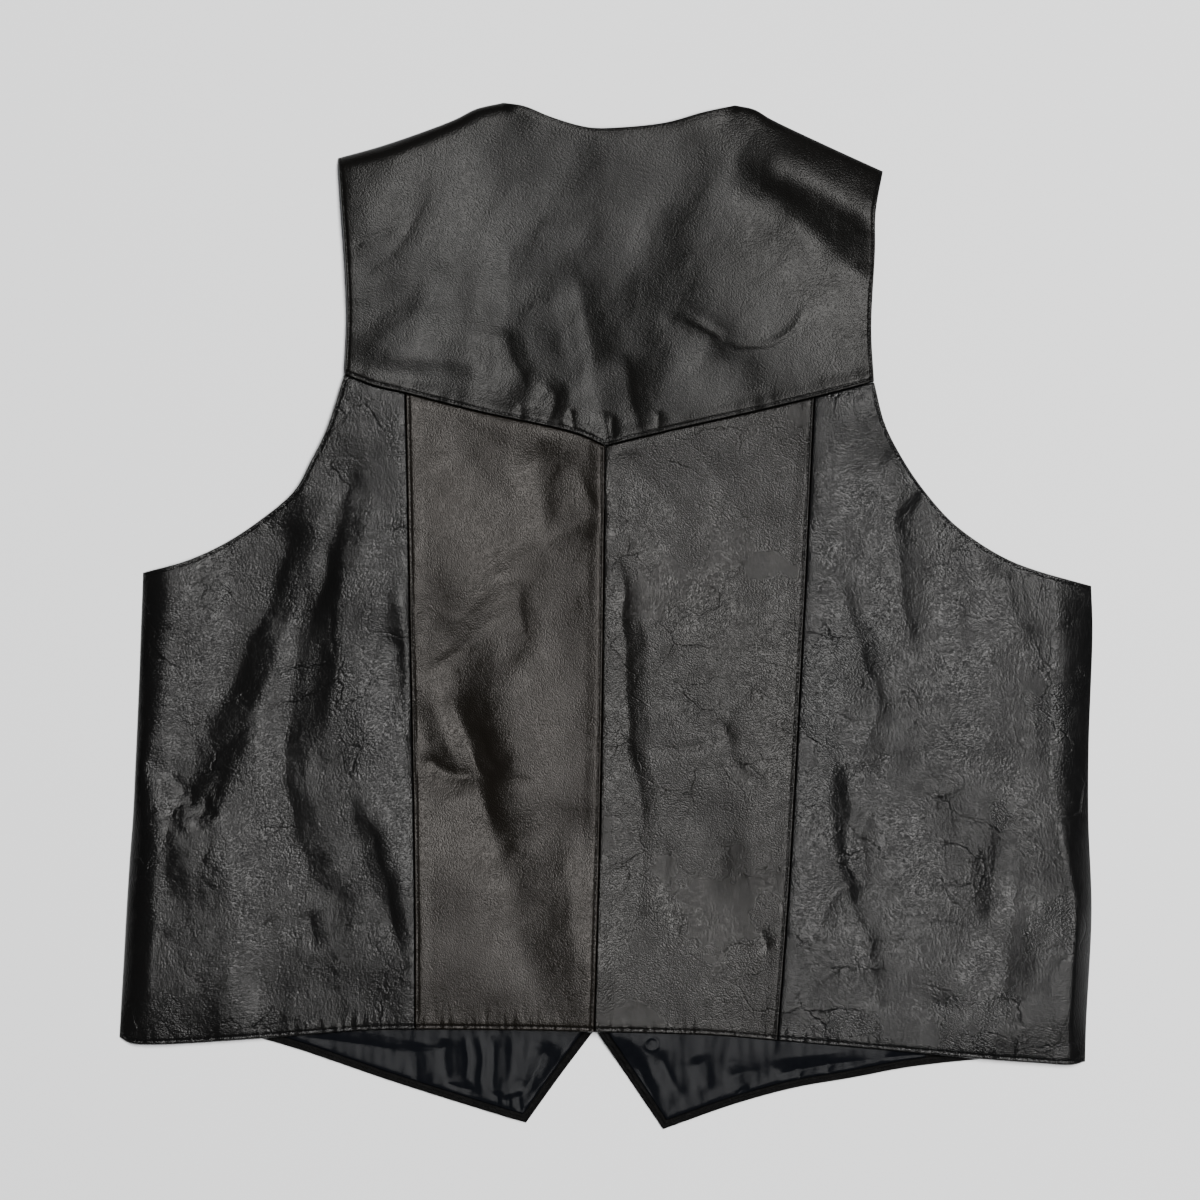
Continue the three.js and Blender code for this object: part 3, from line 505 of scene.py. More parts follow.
def drape(x, y):
    """The height of the back's outer face where no seam or edge is near."""
    from_left = np.maximum(0, x - np.interp(y, side_left[:, 1], side_left[:, 0]))
    from_right = np.maximum(0, np.interp(y, side_right[:, 1], side_right[:, 0]) - x)
    lift = SIDE_LIFT * (np.exp(-from_left / SIDE_REACH) + np.exp(-from_right / SIDE_REACH))
    fades = 1 - smoothstep(y, CLOSURE_TOP, NECK_FADE)
    full = MIDDLE_HEIGHT + lift + CLOSURE_BULGE * bell((x - CLOSURE_X) / CLOSURE_REACH) * fades
    hem_edge = HEM_HEIGHT + HEM_BULGE * bell((x - CLOSURE_X) / HEM_BULGE_REACH)
    height = full.copy()
    armholes = np.minimum.reduce([nearest_on(line, x, y)[0] for line in (
        armhole_left_low, armhole_left_high, armhole_right_low, armhole_right_high)])
    for off, edge_height in (
            (nearest_on(hem, x, y)[0], hem_edge), (armholes, ARMHOLE_HEIGHT),
            (nearest_on(neck, x, y)[0], NECK_HEIGHT)):
        height *= 1 - (1 - edge_height / full) * np.exp(-off / EDGE_REACH)
    stray_x = x + FOLD_WANDER * waves(x, y, FOLD_WANDER_SIZE, 11)
    stray_y = y + FOLD_WANDER * waves(x, y, FOLD_WANDER_SIZE, 12)
    for fold in FOLDS:
        height += fold_height(fold, stray_x, stray_y)
    height += crumple_height(x, y)
    height += SWELL * waves(x, y, SWELL_SIZE, 21) + RIPPLE * waves(x, y, RIPPLE_SIZE, 22)
    lowest = LOWEST + LOWEST_OVERLAP * bell((x - CLOSURE_X) / OVERLAP_REACH) * fades
    height = lowest + LOWEST_ROUND * np.logaddexp(0, (height - lowest) / LOWEST_ROUND)
    shoulders = np.ones(x.shape)
    for line, reach in ((shoulder_left, ROLL_SHOULDER_LEFT), (shoulder_right, ROLL_SHOULDER_RIGHT)):
        off, _, side = nearest_on(line, x, y)
        shoulders *= rolled(np.where(side < 0, off, 0) / reach, ROLL_POWER_SHOULDER)
    narrows = smoothstep(y, ROLL_RIGHT_FROM, ROLL_RIGHT_TO)
    roll_right = ROLL_RIGHT_LOW + (ROLL_RIGHT_HIGH - ROLL_RIGHT_LOW) * narrows
    roll = (rolled(from_left / ROLL_LEFT, ROLL_POWER_LEFT)
            * rolled(from_right / roll_right, ROLL_POWER_RIGHT) * shoulders)
    return FLOOR_GAP + (height - FLOOR_GAP) * roll


# Edges and seams. A panel's edge is turned under and topstitched (hem, armholes, neck, and the upper side
# of each seam), or goes under its neighbour. The stitches sink in, and the leather puckers between them.
STITCH_PITCH = 2.7
EDGE_ROUND = 1.4
STITCH_SINK = 0.6
STITCH_SPREAD = 0.7
ALLOWANCE = 3.5
ALLOWANCE_FADE = 9.0
UNDER_DROP = 1.4
UNDER_REACH = 0.8
UNDER_DIP = 0.8
UNDER_DIP_REACH = 2.6
HIDE_FADE = 8.0                 # how far from a seam a hide's own streaks take to rise, and by what share
HIDE_HELD = 0.75
HIDE_STREAKS = ((0.36, 2.4, 24), (0.11, 2.0, 11), (0.04, 1.6, 5.5))     # height, how long, width
HIDE_CREASE = 0.3
HIDE_CREASE_SIZE = 44
HIDE_CREASE_LONG = 1.6
HIDE_CREASE_WIDTH = 1.4
STITCH_PULL = 0.25              # share of the stitches' sink that eases off between them
PUCKER_UNEVEN = 0.5             # how much the puckers' depth varies, over what length
PUCKER_UNEVEN_SIZE = 45
PUCKER_SLANT = 0.25
PUCKER_ROW = 40.0               # the row of the waves that the unevenness is read along
# kind: how far in the stitches lie, how much the doubled leather lifts, puckers' depth, spacing and reach
EDGE_KINDS = {
    "hem": (2.7, 0.15, 1.5, 3.8, 6.5),
    "armhole": (1.8, 0.1, 0.6, 5.5, 6.0),
    "neck": (1.8, 0.1, 0.25, 12.0, 6.0),
    "yoke": (2.4, 0.7, 0.6, 7.5, 6.0),
    "over": (2.1, 0.5, 0.4, 8.0, 5.0),
    "under": (None, 0, 0.4, 8.0, 5.0),
}


def edge_profile(line, kind, seed, x, y):
    stitch_in, lift, pucker, pucker_size, pucker_reach = EDGE_KINDS[kind]
    off, share, _ = nearest_on(line, x, y)
    along = share * length_of(line)
    uneven = 0.6 + PUCKER_UNEVEN * waves(along, np.full(x.shape, PUCKER_ROW), PUCKER_UNEVEN_SIZE, seed + 1)
    puckers = waves(along, off * PUCKER_SLANT, pucker_size, seed)
    height = pucker * uneven * puckers * np.exp(-off / pucker_reach)
    if stitch_in is None:
        height -= UNDER_DROP * (1 - rolled(off / UNDER_REACH)) + UNDER_DIP * np.exp(-off / UNDER_DIP_REACH)
        return height
    height += lift * (1 - smoothstep(off, ALLOWANCE, ALLOWANCE + ALLOWANCE_FADE))
    height -= EDGE_ROUND * (1 - rolled(off / EDGE_ROUND))
    pulled = 1 - STITCH_PULL + STITCH_PULL * np.cos(2 * math.pi * along / STITCH_PITCH)
    height -= STITCH_SINK * pulled * bell((off - stitch_in) / STITCH_SPREAD)
    return height


def hide_height(hide, x, y):
    """A panel's own unevenness: streaks along the stretch of its hide, and fine creases."""
    turn, streak, crease, seed = hide
    along = x * math.cos(math.radians(turn)) + y * math.sin(math.radians(turn))
    across = y * math.cos(math.radians(turn)) - x * math.sin(math.radians(turn))
    height = np.zeros(x.shape)
    for index, (rise, long, width) in enumerate(HIDE_STREAKS):
        height += streak * rise * waves(along / long, across, width, seed + index)
    fine = creases(along / HIDE_CREASE_LONG, across, HIDE_CREASE_SIZE, seed + 10, HIDE_CREASE_WIDTH)
    return height + crease * HIDE_CREASE * fine


def outer_height(panel, x, y):
    """The outer face of a panel: the drape, its own hide and the profile of each of its edges."""
    edges, hide = panel
    height = drape(x, y)
    seams = np.minimum.reduce([nearest_on(line, x, y)[0] for line, _ in edges])
    height += hide_height(hide, x, y) * (1 - HIDE_HELD * np.exp(-seams / HIDE_FADE))
    for index, (line, kind) in enumerate(edges):
        height += edge_profile(line, kind, 300 + 7 * index, x, y)
    return np.maximum(height, FLOOR_GAP)


# The panels' meshes. Each is a grid of points between its four edges, close together along them, with a
# coarser inner face one thickness below.
CELL = 1.15
FINE_STEP = 0.42
FINE_ZONE = 5.0
ROLL_STEPS = 16
INNER_SKIP = 3
THINNEST = 0.05
YOKE_CELL_UP = 0.82
YOKE_CELL_ACROSS = 1.2
SIDE_CELL = 1.6


def spread(length, cell=CELL, roll_start=0, roll_end=0):
    """Shares of a length: close together near both ends and over a roll, a cell apart between."""
    def near(roll):
        if roll:
            return roll * (1 - np.cos(np.linspace(0, math.pi / 2, ROLL_STEPS)))
        return np.arange(0, FINE_ZONE, FINE_STEP)
    start = near(roll_start)
    end = length - near(roll_end)[::-1]
    middle = np.linspace(start[-1], end[0], round((end[0] - start[-1]) / cell) + 1)[1:-1]
    return np.concatenate([start, middle, end]) / length


def patch(left, right, bottom, top, across, up_left, up_right=None):
    """Points between four lines, at shares across and up them, rows from bottom to top: a Coons patch."""
    a = across[None, :, None]
    b = up_left[:, None, None]
    up_right = up_left if up_right is None else up_right
    ruled = (places_on(bottom, across)[None] * (1 - b) + places_on(top, across)[None] * b
             + places_on(left, up_left)[:, None] * (1 - a) + places_on(right, up_right)[:, None] * a)
    corners = (left[0] * (1 - a) * (1 - b) + right[0] * a * (1 - b)
               + left[-1] * (1 - a) * b + right[-1] * a * b)
    return ruled - corners


def grid_normals(points):
    across = np.gradient(points, axis=1)
    up = np.gradient(points, axis=0)
    normal = np.cross(across, up)
    return normal / np.maximum(np.linalg.norm(normal, axis=2, keepdims=True), 1e-9)


def smooth_mesh(name, points, faces):
    """A mesh in the scene, from points in millimetres seen from the tables' own zero."""
    points[:, :2] += ORIGIN
    mesh = bpy.data.meshes.new(name)
    mesh.from_pydata((points * MM).tolist(), [], faces)
    mesh.polygons.foreach_set("use_smooth", [True] * len(mesh.polygons))
    piece = bpy.data.objects.new(name, mesh)
    bpy.context.scene.collection.objects.link(piece)
    return piece


def skipped(count, skip):
    return np.append(np.arange(0, count - 1, skip), count - 1)


def cloth_shell(name, upper, thickness, skip=INNER_SKIP, lowest=0.0):
    """A closed wall under a grid of outer points in millimetres, its inner face a coarser grid."""
    rows, columns = upper.shape[:2]
    kept_rows = skipped(rows, skip)
    kept_columns = skipped(columns, skip)
    lower = upper - grid_normals(upper) * np.broadcast_to(thickness, (rows, columns))[..., None]
    lower[..., 2] = np.clip(lower[..., 2], lowest, upper[..., 2] - THINNEST)
    lower = lower[np.ix_(kept_rows, kept_columns)]
    upper_ids = np.arange(rows * columns).reshape(rows, columns)
    lower_ids = rows * columns + np.arange(lower.shape[0] * lower.shape[1]).reshape(lower.shape[:2])

    def quads(ids):
        return np.stack([ids[:-1, :-1], ids[:-1, 1:], ids[1:, 1:], ids[1:, :-1]], axis=2).reshape(-1, 4)

    def rim(fine, kept, coarse):
        triangles = []
        for (start, end), (low_a, low_b) in zip(zip(kept, kept[1:]), zip(coarse, coarse[1:])):
            turn = (start + end) // 2
            triangles += [(fine[k], low_a, fine[k + 1]) for k in range(start, turn)]
            triangles.append((fine[turn], low_a, low_b))
            triangles += [(fine[k], low_b, fine[k + 1]) for k in range(turn, end)]
        return triangles

    flip_rows = rows - 1 - kept_rows[::-1]
    flip_columns = columns - 1 - kept_columns[::-1]
    sides = (rim(upper_ids[0], kept_columns, lower_ids[0])
             + rim(upper_ids[:, -1], kept_rows, lower_ids[:, -1])
             + rim(upper_ids[-1, ::-1], flip_columns, lower_ids[-1, ::-1])
             + rim(upper_ids[::-1, 0], flip_rows, lower_ids[::-1, 0]))
    points = np.vstack([upper.reshape(-1, 3), lower.reshape(-1, 3)])
    return smooth_mesh(name, points, quads(upper_ids).tolist() + quads(lower_ids)[:, ::-1].tolist() + sides)


# The leather itself: black, drum dyed and thinly finished, so that a brown shows through where it is
# stretched, with pebbles about a millimetre wide and finer creases that run with the stretch of the hide.
PEBBLE = 0.8                    # millimetres
FINE_PEBBLE = 0.8
WRINKLE = 1.05
CRACKLE = 24                    # between the creases of its crackle, which stray by CRACK_BEND
CRACK_WIDTH = 0.035             # as a share of the crackle's size
CRACK_BEND = 0.012
CRACKED_FROM = 0.46             # how far a noise has to rise for the crackle to show, and to show in full
CRACKED_TO = 0.66
GRAIN_BEND = 0.004
BEND_SCALE = 60.0               # of the noises that bend, wear and tone it, in waves to the metre
PATCH_SCALE = 9.0
HANDLED_SCALE = 17.0
CRACKED_SCALE = 23.0
SMOOTHER = 0.04                 # how far its roughness varies
ROUGHER = 0.06
FINE_SHARE = 0.4
LEATHER_GLOSS = 0.134
LEATHER_CAST = (1.0, 0.985, 0.965)         # of its gloss


def leather_material(name, dark, pale, grain_turn, stretch, wrinkle_depth, pebble_depth, crackle_depth,
                     roughness, gloss=LEATHER_GLOSS, cast=LEATHER_CAST):
    """Leather with wrinkles and pebbles (depths in millimetres) that run along the turn of its grain."""
    material, shader, add, wire = new_material(name)
    place = add("ShaderNodeTexCoord").outputs["Object"]
    turned = add("ShaderNodeMapping", Vector=place, Rotation=(0, 0, math.radians(grain_turn)))
    along = add("ShaderNodeMapping", Vector=turned.outputs[0], Scale=(1 / stretch, 1, 1))
    bend = add("ShaderNodeTexNoise", Vector=place, Scale=BEND_SCALE, Detail=2.0)

    def strayed(share):
        stray = add("ShaderNodeMix", {"data_type": "VECTOR"})
        wire(share, stray.inputs[0])
        wire(along.outputs[0], stray.inputs[4])
        wire(bend.outputs["Color"], stray.inputs[5])
        return stray.outputs[1]

    grain = strayed(GRAIN_BEND)
    wrinkles = add("ShaderNodeTexNoise", Vector=grain, Scale=1 / (WRINKLE * MM), Detail=3.0, Roughness=0.55)
    pebbles = add("ShaderNodeTexVoronoi", {"feature": "F1"}, Vector=grain, Scale=1 / (PEBBLE * MM))
    fine = add("ShaderNodeTexVoronoi", {"feature": "DISTANCE_TO_EDGE", "voronoi_dimensions": "2D"},
               Vector=grain, Scale=1 / (FINE_PEBBLE * MM))
    patches = add("ShaderNodeTexNoise", Vector=place, Scale=PATCH_SCALE, Detail=4.0, Roughness=0.6)
    uneven = add("ShaderNodeMapRange", Value=patches.outputs["Fac"], From_Min=0.35, From_Max=0.65,
                 To_Min=0.35, To_Max=1.0)
    wrinkle_bump = add("ShaderNodeBump", Height=wrinkles.outputs["Fac"], Distance=wrinkle_depth * MM)
    wire(uneven.outputs[0], wrinkle_bump.inputs["Strength"])
    if crackle_depth:
        cracks = add("ShaderNodeTexVoronoi", {"feature": "DISTANCE_TO_EDGE"}, Vector=strayed(CRACK_BEND),
                     Scale=1 / (CRACKLE * MM))
        lines = add("ShaderNodeMapRange", {"interpolation_type": "SMOOTHSTEP"},
                    Value=cracks.outputs["Distance"], From_Min=0.0, From_Max=CRACK_WIDTH, To_Min=0.0,
                    To_Max=1.0)
        cracked = add("ShaderNodeTexNoise", Vector=place, Scale=CRACKED_SCALE, Detail=2.0)
        where_cracked = add("ShaderNodeMapRange", Value=cracked.outputs["Fac"], From_Min=CRACKED_FROM,
                            From_Max=CRACKED_TO, To_Min=0.0, To_Max=1.0)
        crack_bump = add("ShaderNodeBump", Height=lines.outputs[0], Distance=crackle_depth * MM)
        wire(where_cracked.outputs[0], crack_bump.inputs["Strength"])
        wire(crack_bump.outputs[0], wrinkle_bump.inputs["Normal"])
    pebble_bump = add("ShaderNodeBump", Height=pebbles.outputs["Distance"], Strength=1.0,
                      Distance=-pebble_depth * MM, Normal=wrinkle_bump.outputs[0])
    fine_bump = add("ShaderNodeBump", Height=fine.outputs["Distance"], Strength=0.5,
                    Distance=pebble_depth * FINE_SHARE * MM, Normal=pebble_bump.outputs[0])
    wire(fine_bump.outputs[0], shader.inputs["Normal"])
    tone_between(shader, add, wire, patches, dark, pale)
    handled = add("ShaderNodeTexNoise", Vector=place, Scale=HANDLED_SCALE, Detail=5.0, Roughness=0.65)
    sheen = add("ShaderNodeMapRange", Value=handled.outputs["Fac"], From_Min=0.3, From_Max=0.7,
                To_Min=roughness - SMOOTHER, To_Max=roughness + ROUGHER)
    wire(sheen.outputs[0], shader.inputs["Roughness"])
    wire(gloss, shader.inputs["Specular IOR Level"])
    wire((*cast, 1), shader.inputs["Specular Tint"])
    return material


def lay(piece, stands_for, material):
    """Gives a piece of cloth its material, puts it under the root body and hides the construction's part
    that it stands for.
    """
    piece.data.materials.append(material)
    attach(piece, "root")
    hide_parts(stands_for)


OPEN_EXTRA = 0.8                # what a turned edge adds to the wall below it
OPEN_ZONE = 8.0


def back_panel(name, sides, panel, material, shares_up, shares_across):
    plan = patch(*sides, shares_across, shares_up)
    x, y = plan[..., 0], plan[..., 1]
    upper = np.dstack([x, y, outer_height(panel, x, y)])
    turned = np.zeros(x.shape)
    for line, kind in panel[0]:
        if kind in ("hem", "armhole", "neck"):
            turned = np.maximum(turned, 1 - smoothstep(nearest_on(line, x, y)[0], OPEN_ZONE - 1, OPEN_ZONE))
    piece = cloth_shell(name, upper, LEATHER + OPEN_EXTRA * turned)
    lay(piece, name.replace("leather_", ""), material)


# Back yoke: one piece across the shoulders, cut to a point at the centre back, its lower edge turned
# under and topstitched over the four panels. Its leather is the smoothest of the vest.
yoke_leather = leather_material(
    "yoke_leather", dark=(0.0024, 0.0023, 0.0022), pale=(0.0048, 0.0045, 0.0041),
    grain_turn=25, stretch=1.5, wrinkle_depth=0.12, pebble_depth=0.13, crackle_depth=0.0,
    roughness=0.25, gloss=0.086, cast=(1.0, 0.98, 0.95))
yoke_top = joined(shoulder_left, neck, shoulder_right)
# a panel: its edges with their kinds, then its hide's turn, streaks, creases and seed
yoke_panel = ([
    (yoke_seam, "yoke"), (armhole_left_high, "armhole"), (armhole_right_high, "armhole"), (neck, "neck")],
    (52, 0.8, 0.3, 400))
back_panel(
    "leather_back_yoke", (armhole_left_high, armhole_right_high, yoke_seam, yoke_top), yoke_panel,
    yoke_leather, spread(length_of(armhole_left_high), YOKE_CELL_UP, roll_end=ROLL_SHOULDER_RIGHT),
    spread(length_of(yoke_seam), YOKE_CELL_ACROSS))

# Left side panel: from the side seam to the princess seam, under the armhole. It is the most worn one,
# with deep folds from the armhole down, crumpled places at the side and a coarse slanting grain.
side_left_leather = leather_material(
    "side_left_leather", dark=(0.0022, 0.0022, 0.0022), pale=(0.0044, 0.0042, 0.0041),
    grain_turn=-28, stretch=1.8, wrinkle_depth=0.19, pebble_depth=0.22, crackle_depth=0.28,
    roughness=0.22)
side_left_top = joined(armhole_left_low, yoke_side_left)
side_left_panel = ([
    (hem_side_left, "hem"), (armhole_left_low, "armhole"), (yoke_side_left, "under"),
    (princess_left, "under")],
    (66, 1.3, 0.6, 430))
back_panel(
    "leather_back_side_left", (side_left, princess_left, hem_side_left, side_left_top), side_left_panel,
    side_left_leather, spread(length_of(side_left)),
    spread(length_of(side_left_top), SIDE_CELL, roll_start=ROLL_LEFT))

# Left centre panel: between the left princess seam and the centre seam, turned and topstitched on both
# sides. Its smoother, slightly browner leather has soft slanting hollows.
centre_left_leather = leather_material(
    "centre_left_leather", dark=(0.0034, 0.0029, 0.0023), pale=(0.0068, 0.0056, 0.0045),
    grain_turn=70, stretch=1.4, wrinkle_depth=0.12, pebble_depth=0.15, crackle_depth=0.0,
    roughness=0.25, gloss=0.112, cast=(1.0, 0.94, 0.89))
centre_left_panel = ([
    (hem_centre_left, "hem"), (yoke_centre_left, "under"), (princess_left, "over"), (centre_seam, "over")],
    (48, 1.0, 0.3, 460))
back_panel(
    "leather_back_centre_left", (princess_left, centre_seam, hem_centre_left, yoke_centre_left),
    centre_left_panel, centre_left_leather, spread(length_of(princess_left)),
    spread(length_of(yoke_centre_left)))

# Right centre panel: under the left one at the centre seam, over the side panel at the right princess
# seam, with a long hollow beside the centre seam.
centre_right_leather = leather_material(
    "centre_right_leather", dark=(0.0027, 0.0025, 0.0023), pale=(0.0053, 0.0049, 0.0045),
    grain_turn=15, stretch=1.4, wrinkle_depth=0.16, pebble_depth=0.20, crackle_depth=0.18,
    roughness=0.23, gloss=0.136, cast=(1.0, 0.975, 0.945))
centre_right_panel = ([
    (hem_centre_right, "hem"), (yoke_centre_right, "under"), (centre_seam, "under"),
    (princess_right, "over")],
    (100, 0.9, 0.5, 490))
back_panel(
    "leather_back_centre_right", (centre_seam, princess_right, hem_centre_right, yoke_centre_right),
    centre_right_panel, centre_right_leather, spread(length_of(centre_seam)),
    spread(length_of(yoke_centre_right)))

# Right side panel: from the right princess seam to the side seam, which rolls under in a wide soft turn
# below the armhole. Its grain slants the other way.
side_right_leather = leather_material(
    "side_right_leather", dark=(0.0022, 0.0022, 0.0023), pale=(0.0044, 0.0044, 0.0044),
    grain_turn=22, stretch=1.8, wrinkle_depth=0.19, pebble_depth=0.22, crackle_depth=0.30,
    roughness=0.22)
side_right_top = joined(yoke_side_right, armhole_right_low[::-1])
side_right_panel = ([
    (hem_side_right, "hem"), (armhole_right_low, "armhole"), (yoke_side_right, "under"),
    (princess_right, "under")],
    (88, 1.1, 0.6, 520))
back_panel(
    "leather_back_side_right", (princess_right, side_right, hem_side_right, side_right_top),
    side_right_panel, side_right_leather, spread(length_of(princess_right)),
    spread(length_of(side_right_top), SIDE_CELL, roll_end=ROLL_RIGHT_HIGH))

# Fronts: two panels of the same leather lying under the back, closed over each other down the middle and
# cut to a point below the hem. Their edges are turned in 5 mm and stitched; only the points show.
TURNED_WIDTH = 5
TURNED_EDGE = 1.1
TURNED_ROUND = 1.0
TURNED_STEP = 0.4               # to each side of the turned edge's end, which wavers a little
TURNED_WAVER = 0.25
TURNED_WAVER_SIZE = 5
TURNED_PUCKER = 0.3
TURNED_PUCKER_SIZE = 2.6
FRONT_STITCH_IN = 2.2
FRONT_STITCH_SINK = 0.35
FRONT_STITCH_SPREAD = 0.6
FRONT_ROWS = (90, 36, 24)       # up the point, the straight edge, and the neck or armhole
FRONT_COLUMNS = 120
TURNED_COLUMNS = 8
STUD_CAP = 1.2
FRONT_GAP = 0.3
POINT_DEPTH = 78                # along a point's edge, and along the side, up to a line under the hem
SIDE_DEPTH = 50
OVERLAP_LEFT = (-30, -12, -280, -262)      # across from the closure, then up
OVERLAP_RIGHT = (24, 48, -312, -284)

front_hem_left = smooth_line([
    (-327.4, -280), (-280, -281.5), (-250, -284), (-216.4, -292.3), (-144.2, -316.7), (-66.1, -341.2),
    (-54, -344.6)])
front_hem_right = smooth_line([
    (39.3, -349), (87.9, -331.9), (127.7, -321), (167.6, -314), (207.5, -306.6), (258.1, -301.2),
    (300, -299), (323.4, -297)])
front_point_left = smooth_line([(-54, -344.6), (-29, -309.9), (9, -260)])
front_point_right = smooth_line([(39.3, -349), (12, -308.9), (-21, -260)])
front_edge_left = smooth_line([(9, -260), (9, -120), (9, 10)])
front_edge_right = smooth_line([(-21, -260), (-21, -120), (-21, 10)])
front_neck_left = smooth_line([(9, 10), (-8, 90), (-30, 190), (-73, 344.2)])
front_neck_right = smooth_line([(-21, 10), (4, 90), (34, 190), (89, 343.2)])
front_side_left = smooth_line([
    (-327.4, -280), (-326.9, -253.4), (-322, -168.4), (-319.6, -136.7), (-315.5, -46.9), (-311, 22)])
front_side_right = smooth_line([
    (323.4, -297), (325, -276.4), (329, -200.9), (326.6, -138), (326.6, -87.7), (329.2, -10),
    (326.5, 12)])
front_armhole_left = smooth_line([
    (-311, 22), (-272, 29), (-230, 50), (-200, 76), (-178, 115), (-167, 165), (-168, 230),
    (-178.8, 308.9)])
front_armhole_right = smooth_line([
    (326.5, 12), (285, 20), (243, 42), (212, 68), (190, 108), (174, 155), (173, 225), (184.6, 301.2)])
front_shoulder_left = smooth_line([
    (-178.8, 308.9), (-153, 317.4), (-126, 326.4), (-101.6, 335.8), (-88, 341.6), (-73, 344.2)])
front_shoulder_right = smooth_line([
    (89, 343.2), (100.6, 342.1), (111.4, 336.2), (148, 318.8), (184.6, 301.2)])

left_rise = STUD_CAP + FRONT_GAP
right_rise = left_rise + LEATHER + FRONT_GAP


def closed(y, low, high):
    return smoothstep(y, low, high) * (1 - smoothstep(y, CLOSURE_TOP, NECK_FADE))


def under_left(x, y):
    across_low, across_high, *up = OVERLAP_LEFT
    return left_rise * smoothstep(x - CLOSURE_X, across_low, across_high) * closed(y, *up)


def under_right(x, y):
    across_low, across_high, *up = OVERLAP_RIGHT
    return right_rise * (1 - smoothstep(x - CLOSURE_X, across_low, across_high)) * closed(y, *up)


def runs(distances, *counts):
    """Even places between distances, with a count of steps for each space between them."""
    parts = [np.linspace(a, b, count, endpoint=False)
             for a, b, count in zip(distances, distances[1:], counts)]
    return np.append(np.concatenate(parts), distances[-1])


def front_sides(point, edge, neck_edge, side, armhole):
    """A front's inner and outer line, and the shares up each that its rows lie at."""
    inner = joined(point, edge, neck_edge)
    outer = joined(side, armhole)
    up_inner = runs((0, POINT_DEPTH, length_of(joined(point, edge)), length_of(inner)), *FRONT_ROWS)
    up_outer = runs((0, SIDE_DEPTH, length_of(side), length_of(outer)), *FRONT_ROWS)
    return inner, outer, up_inner / length_of(inner), up_outer / length_of(outer)


def turned_face(x, y, base, hem_line, point_line):
    """A front's inside face, raised where its edge is turned in, and rounded at the fold."""
    off = np.minimum(nearest_on(hem_line, x, y)[0], nearest_on(point_line, x, y)[0])
    off = off + TURNED_WAVER * waves(x, y, TURNED_WAVER_SIZE, 61)
    raised = TURNED_EDGE * (1 - smoothstep(off, TURNED_WIDTH - TURNED_STEP, TURNED_WIDTH + TURNED_STEP))
    rounded = TURNED_ROUND * (1 - rolled(off / TURNED_ROUND))
    sunk = FRONT_STITCH_SINK * bell((off - FRONT_STITCH_IN) / FRONT_STITCH_SPREAD)
    puckers = TURNED_PUCKER * waves(x, y, TURNED_PUCKER_SIZE, 62) * (off < TURNED_WIDTH)
    return base + LEATHER + raised - rounded - sunk + puckers


def front_panel(name, plan, under, hem_line, point_line):
    x, y = plan[..., 0], plan[..., 1]
    base = under(x, y)
    upper = np.dstack([x, y, turned_face(x, y, base, hem_line, point_line)])
    piece = cloth_shell(name, upper, upper[..., 2] - base, skip=2)
    lay(piece, name.replace("leather_", ""), front_leather)


front_leather = leather_material(
    "front_leather", dark=(0.0022, 0.0022, 0.0022), pale=(0.0044, 0.0042, 0.0041),
    grain_turn=10, stretch=1.6, wrinkle_depth=0.34, pebble_depth=0.26, crackle_depth=0.0,
    roughness=0.34, gloss=0.014)
inner, outer, up_inner, up_outer = front_sides(
    front_point_left, front_edge_left, front_neck_left, front_side_left, front_armhole_left)
left_front_sides = (outer, inner, front_hem_left, front_shoulder_left)
hem_length = length_of(front_hem_left)
across = runs((0, hem_length - TURNED_WIDTH, hem_length), FRONT_COLUMNS, TURNED_COLUMNS) / hem_length
left_front_plan = patch(*left_front_sides, across, up_outer, up_inner)
front_panel(
    "leather_front_left", left_front_plan, under_left, front_hem_left, front_point_left)
inner, outer, up_inner, up_outer = front_sides(
    front_point_right, front_edge_right, front_neck_right, front_side_right, front_armhole_right)
right_front_sides = (inner, outer, front_hem_right, front_shoulder_right)
hem_length = length_of(front_hem_right)
across = runs((0, TURNED_WIDTH, hem_length), TURNED_COLUMNS, FRONT_COLUMNS) / hem_length
right_front_plan = patch(*right_front_sides, across, up_inner, up_outer)
front_panel(
    "leather_front_right", right_front_plan, under_right, front_hem_right, front_point_right)

# Front linings: blue-black satin laid over the inside of the two points, caught under their turned edges
# and wrinkled by wear. One of the press studs of the closure has printed its ring through.
SATIN = 0.6
LINING_TOP = 1.9                # of its outer face over the front's own inside face
LINING_OUTER = 105              # how far from the side seam it starts
LINING_TUCK = 0.7
LINING_TUCK_REACH = 1.3
LINING_INSET = 0.5              # of its edge, under the fronts' turned edges
LINING_ROWS = 90
LINING_COLUMNS = 200
SATIN_WANDER = 1.2              # how far its folds stray, over what length
SATIN_WANDER_SIZE = 14
SATIN_WRINKLES = ((0.14, 0.25, 5, 72), (0.30, 0.4, 15, 73))     # height, slant, size, seed
SATIN_DARK = (0.0024, 0.0027, 0.0036)
SATIN_PALE = (0.0044, 0.0048, 0.0060)
SATIN_ROUGHNESS = 0.16
SATIN_GLOSS = 0.026
RING_PLACE = (31.6, -291)
RING_RADIUS = 4.3
RING_HEIGHT = 0.32
RING_WIDTH = 0.7

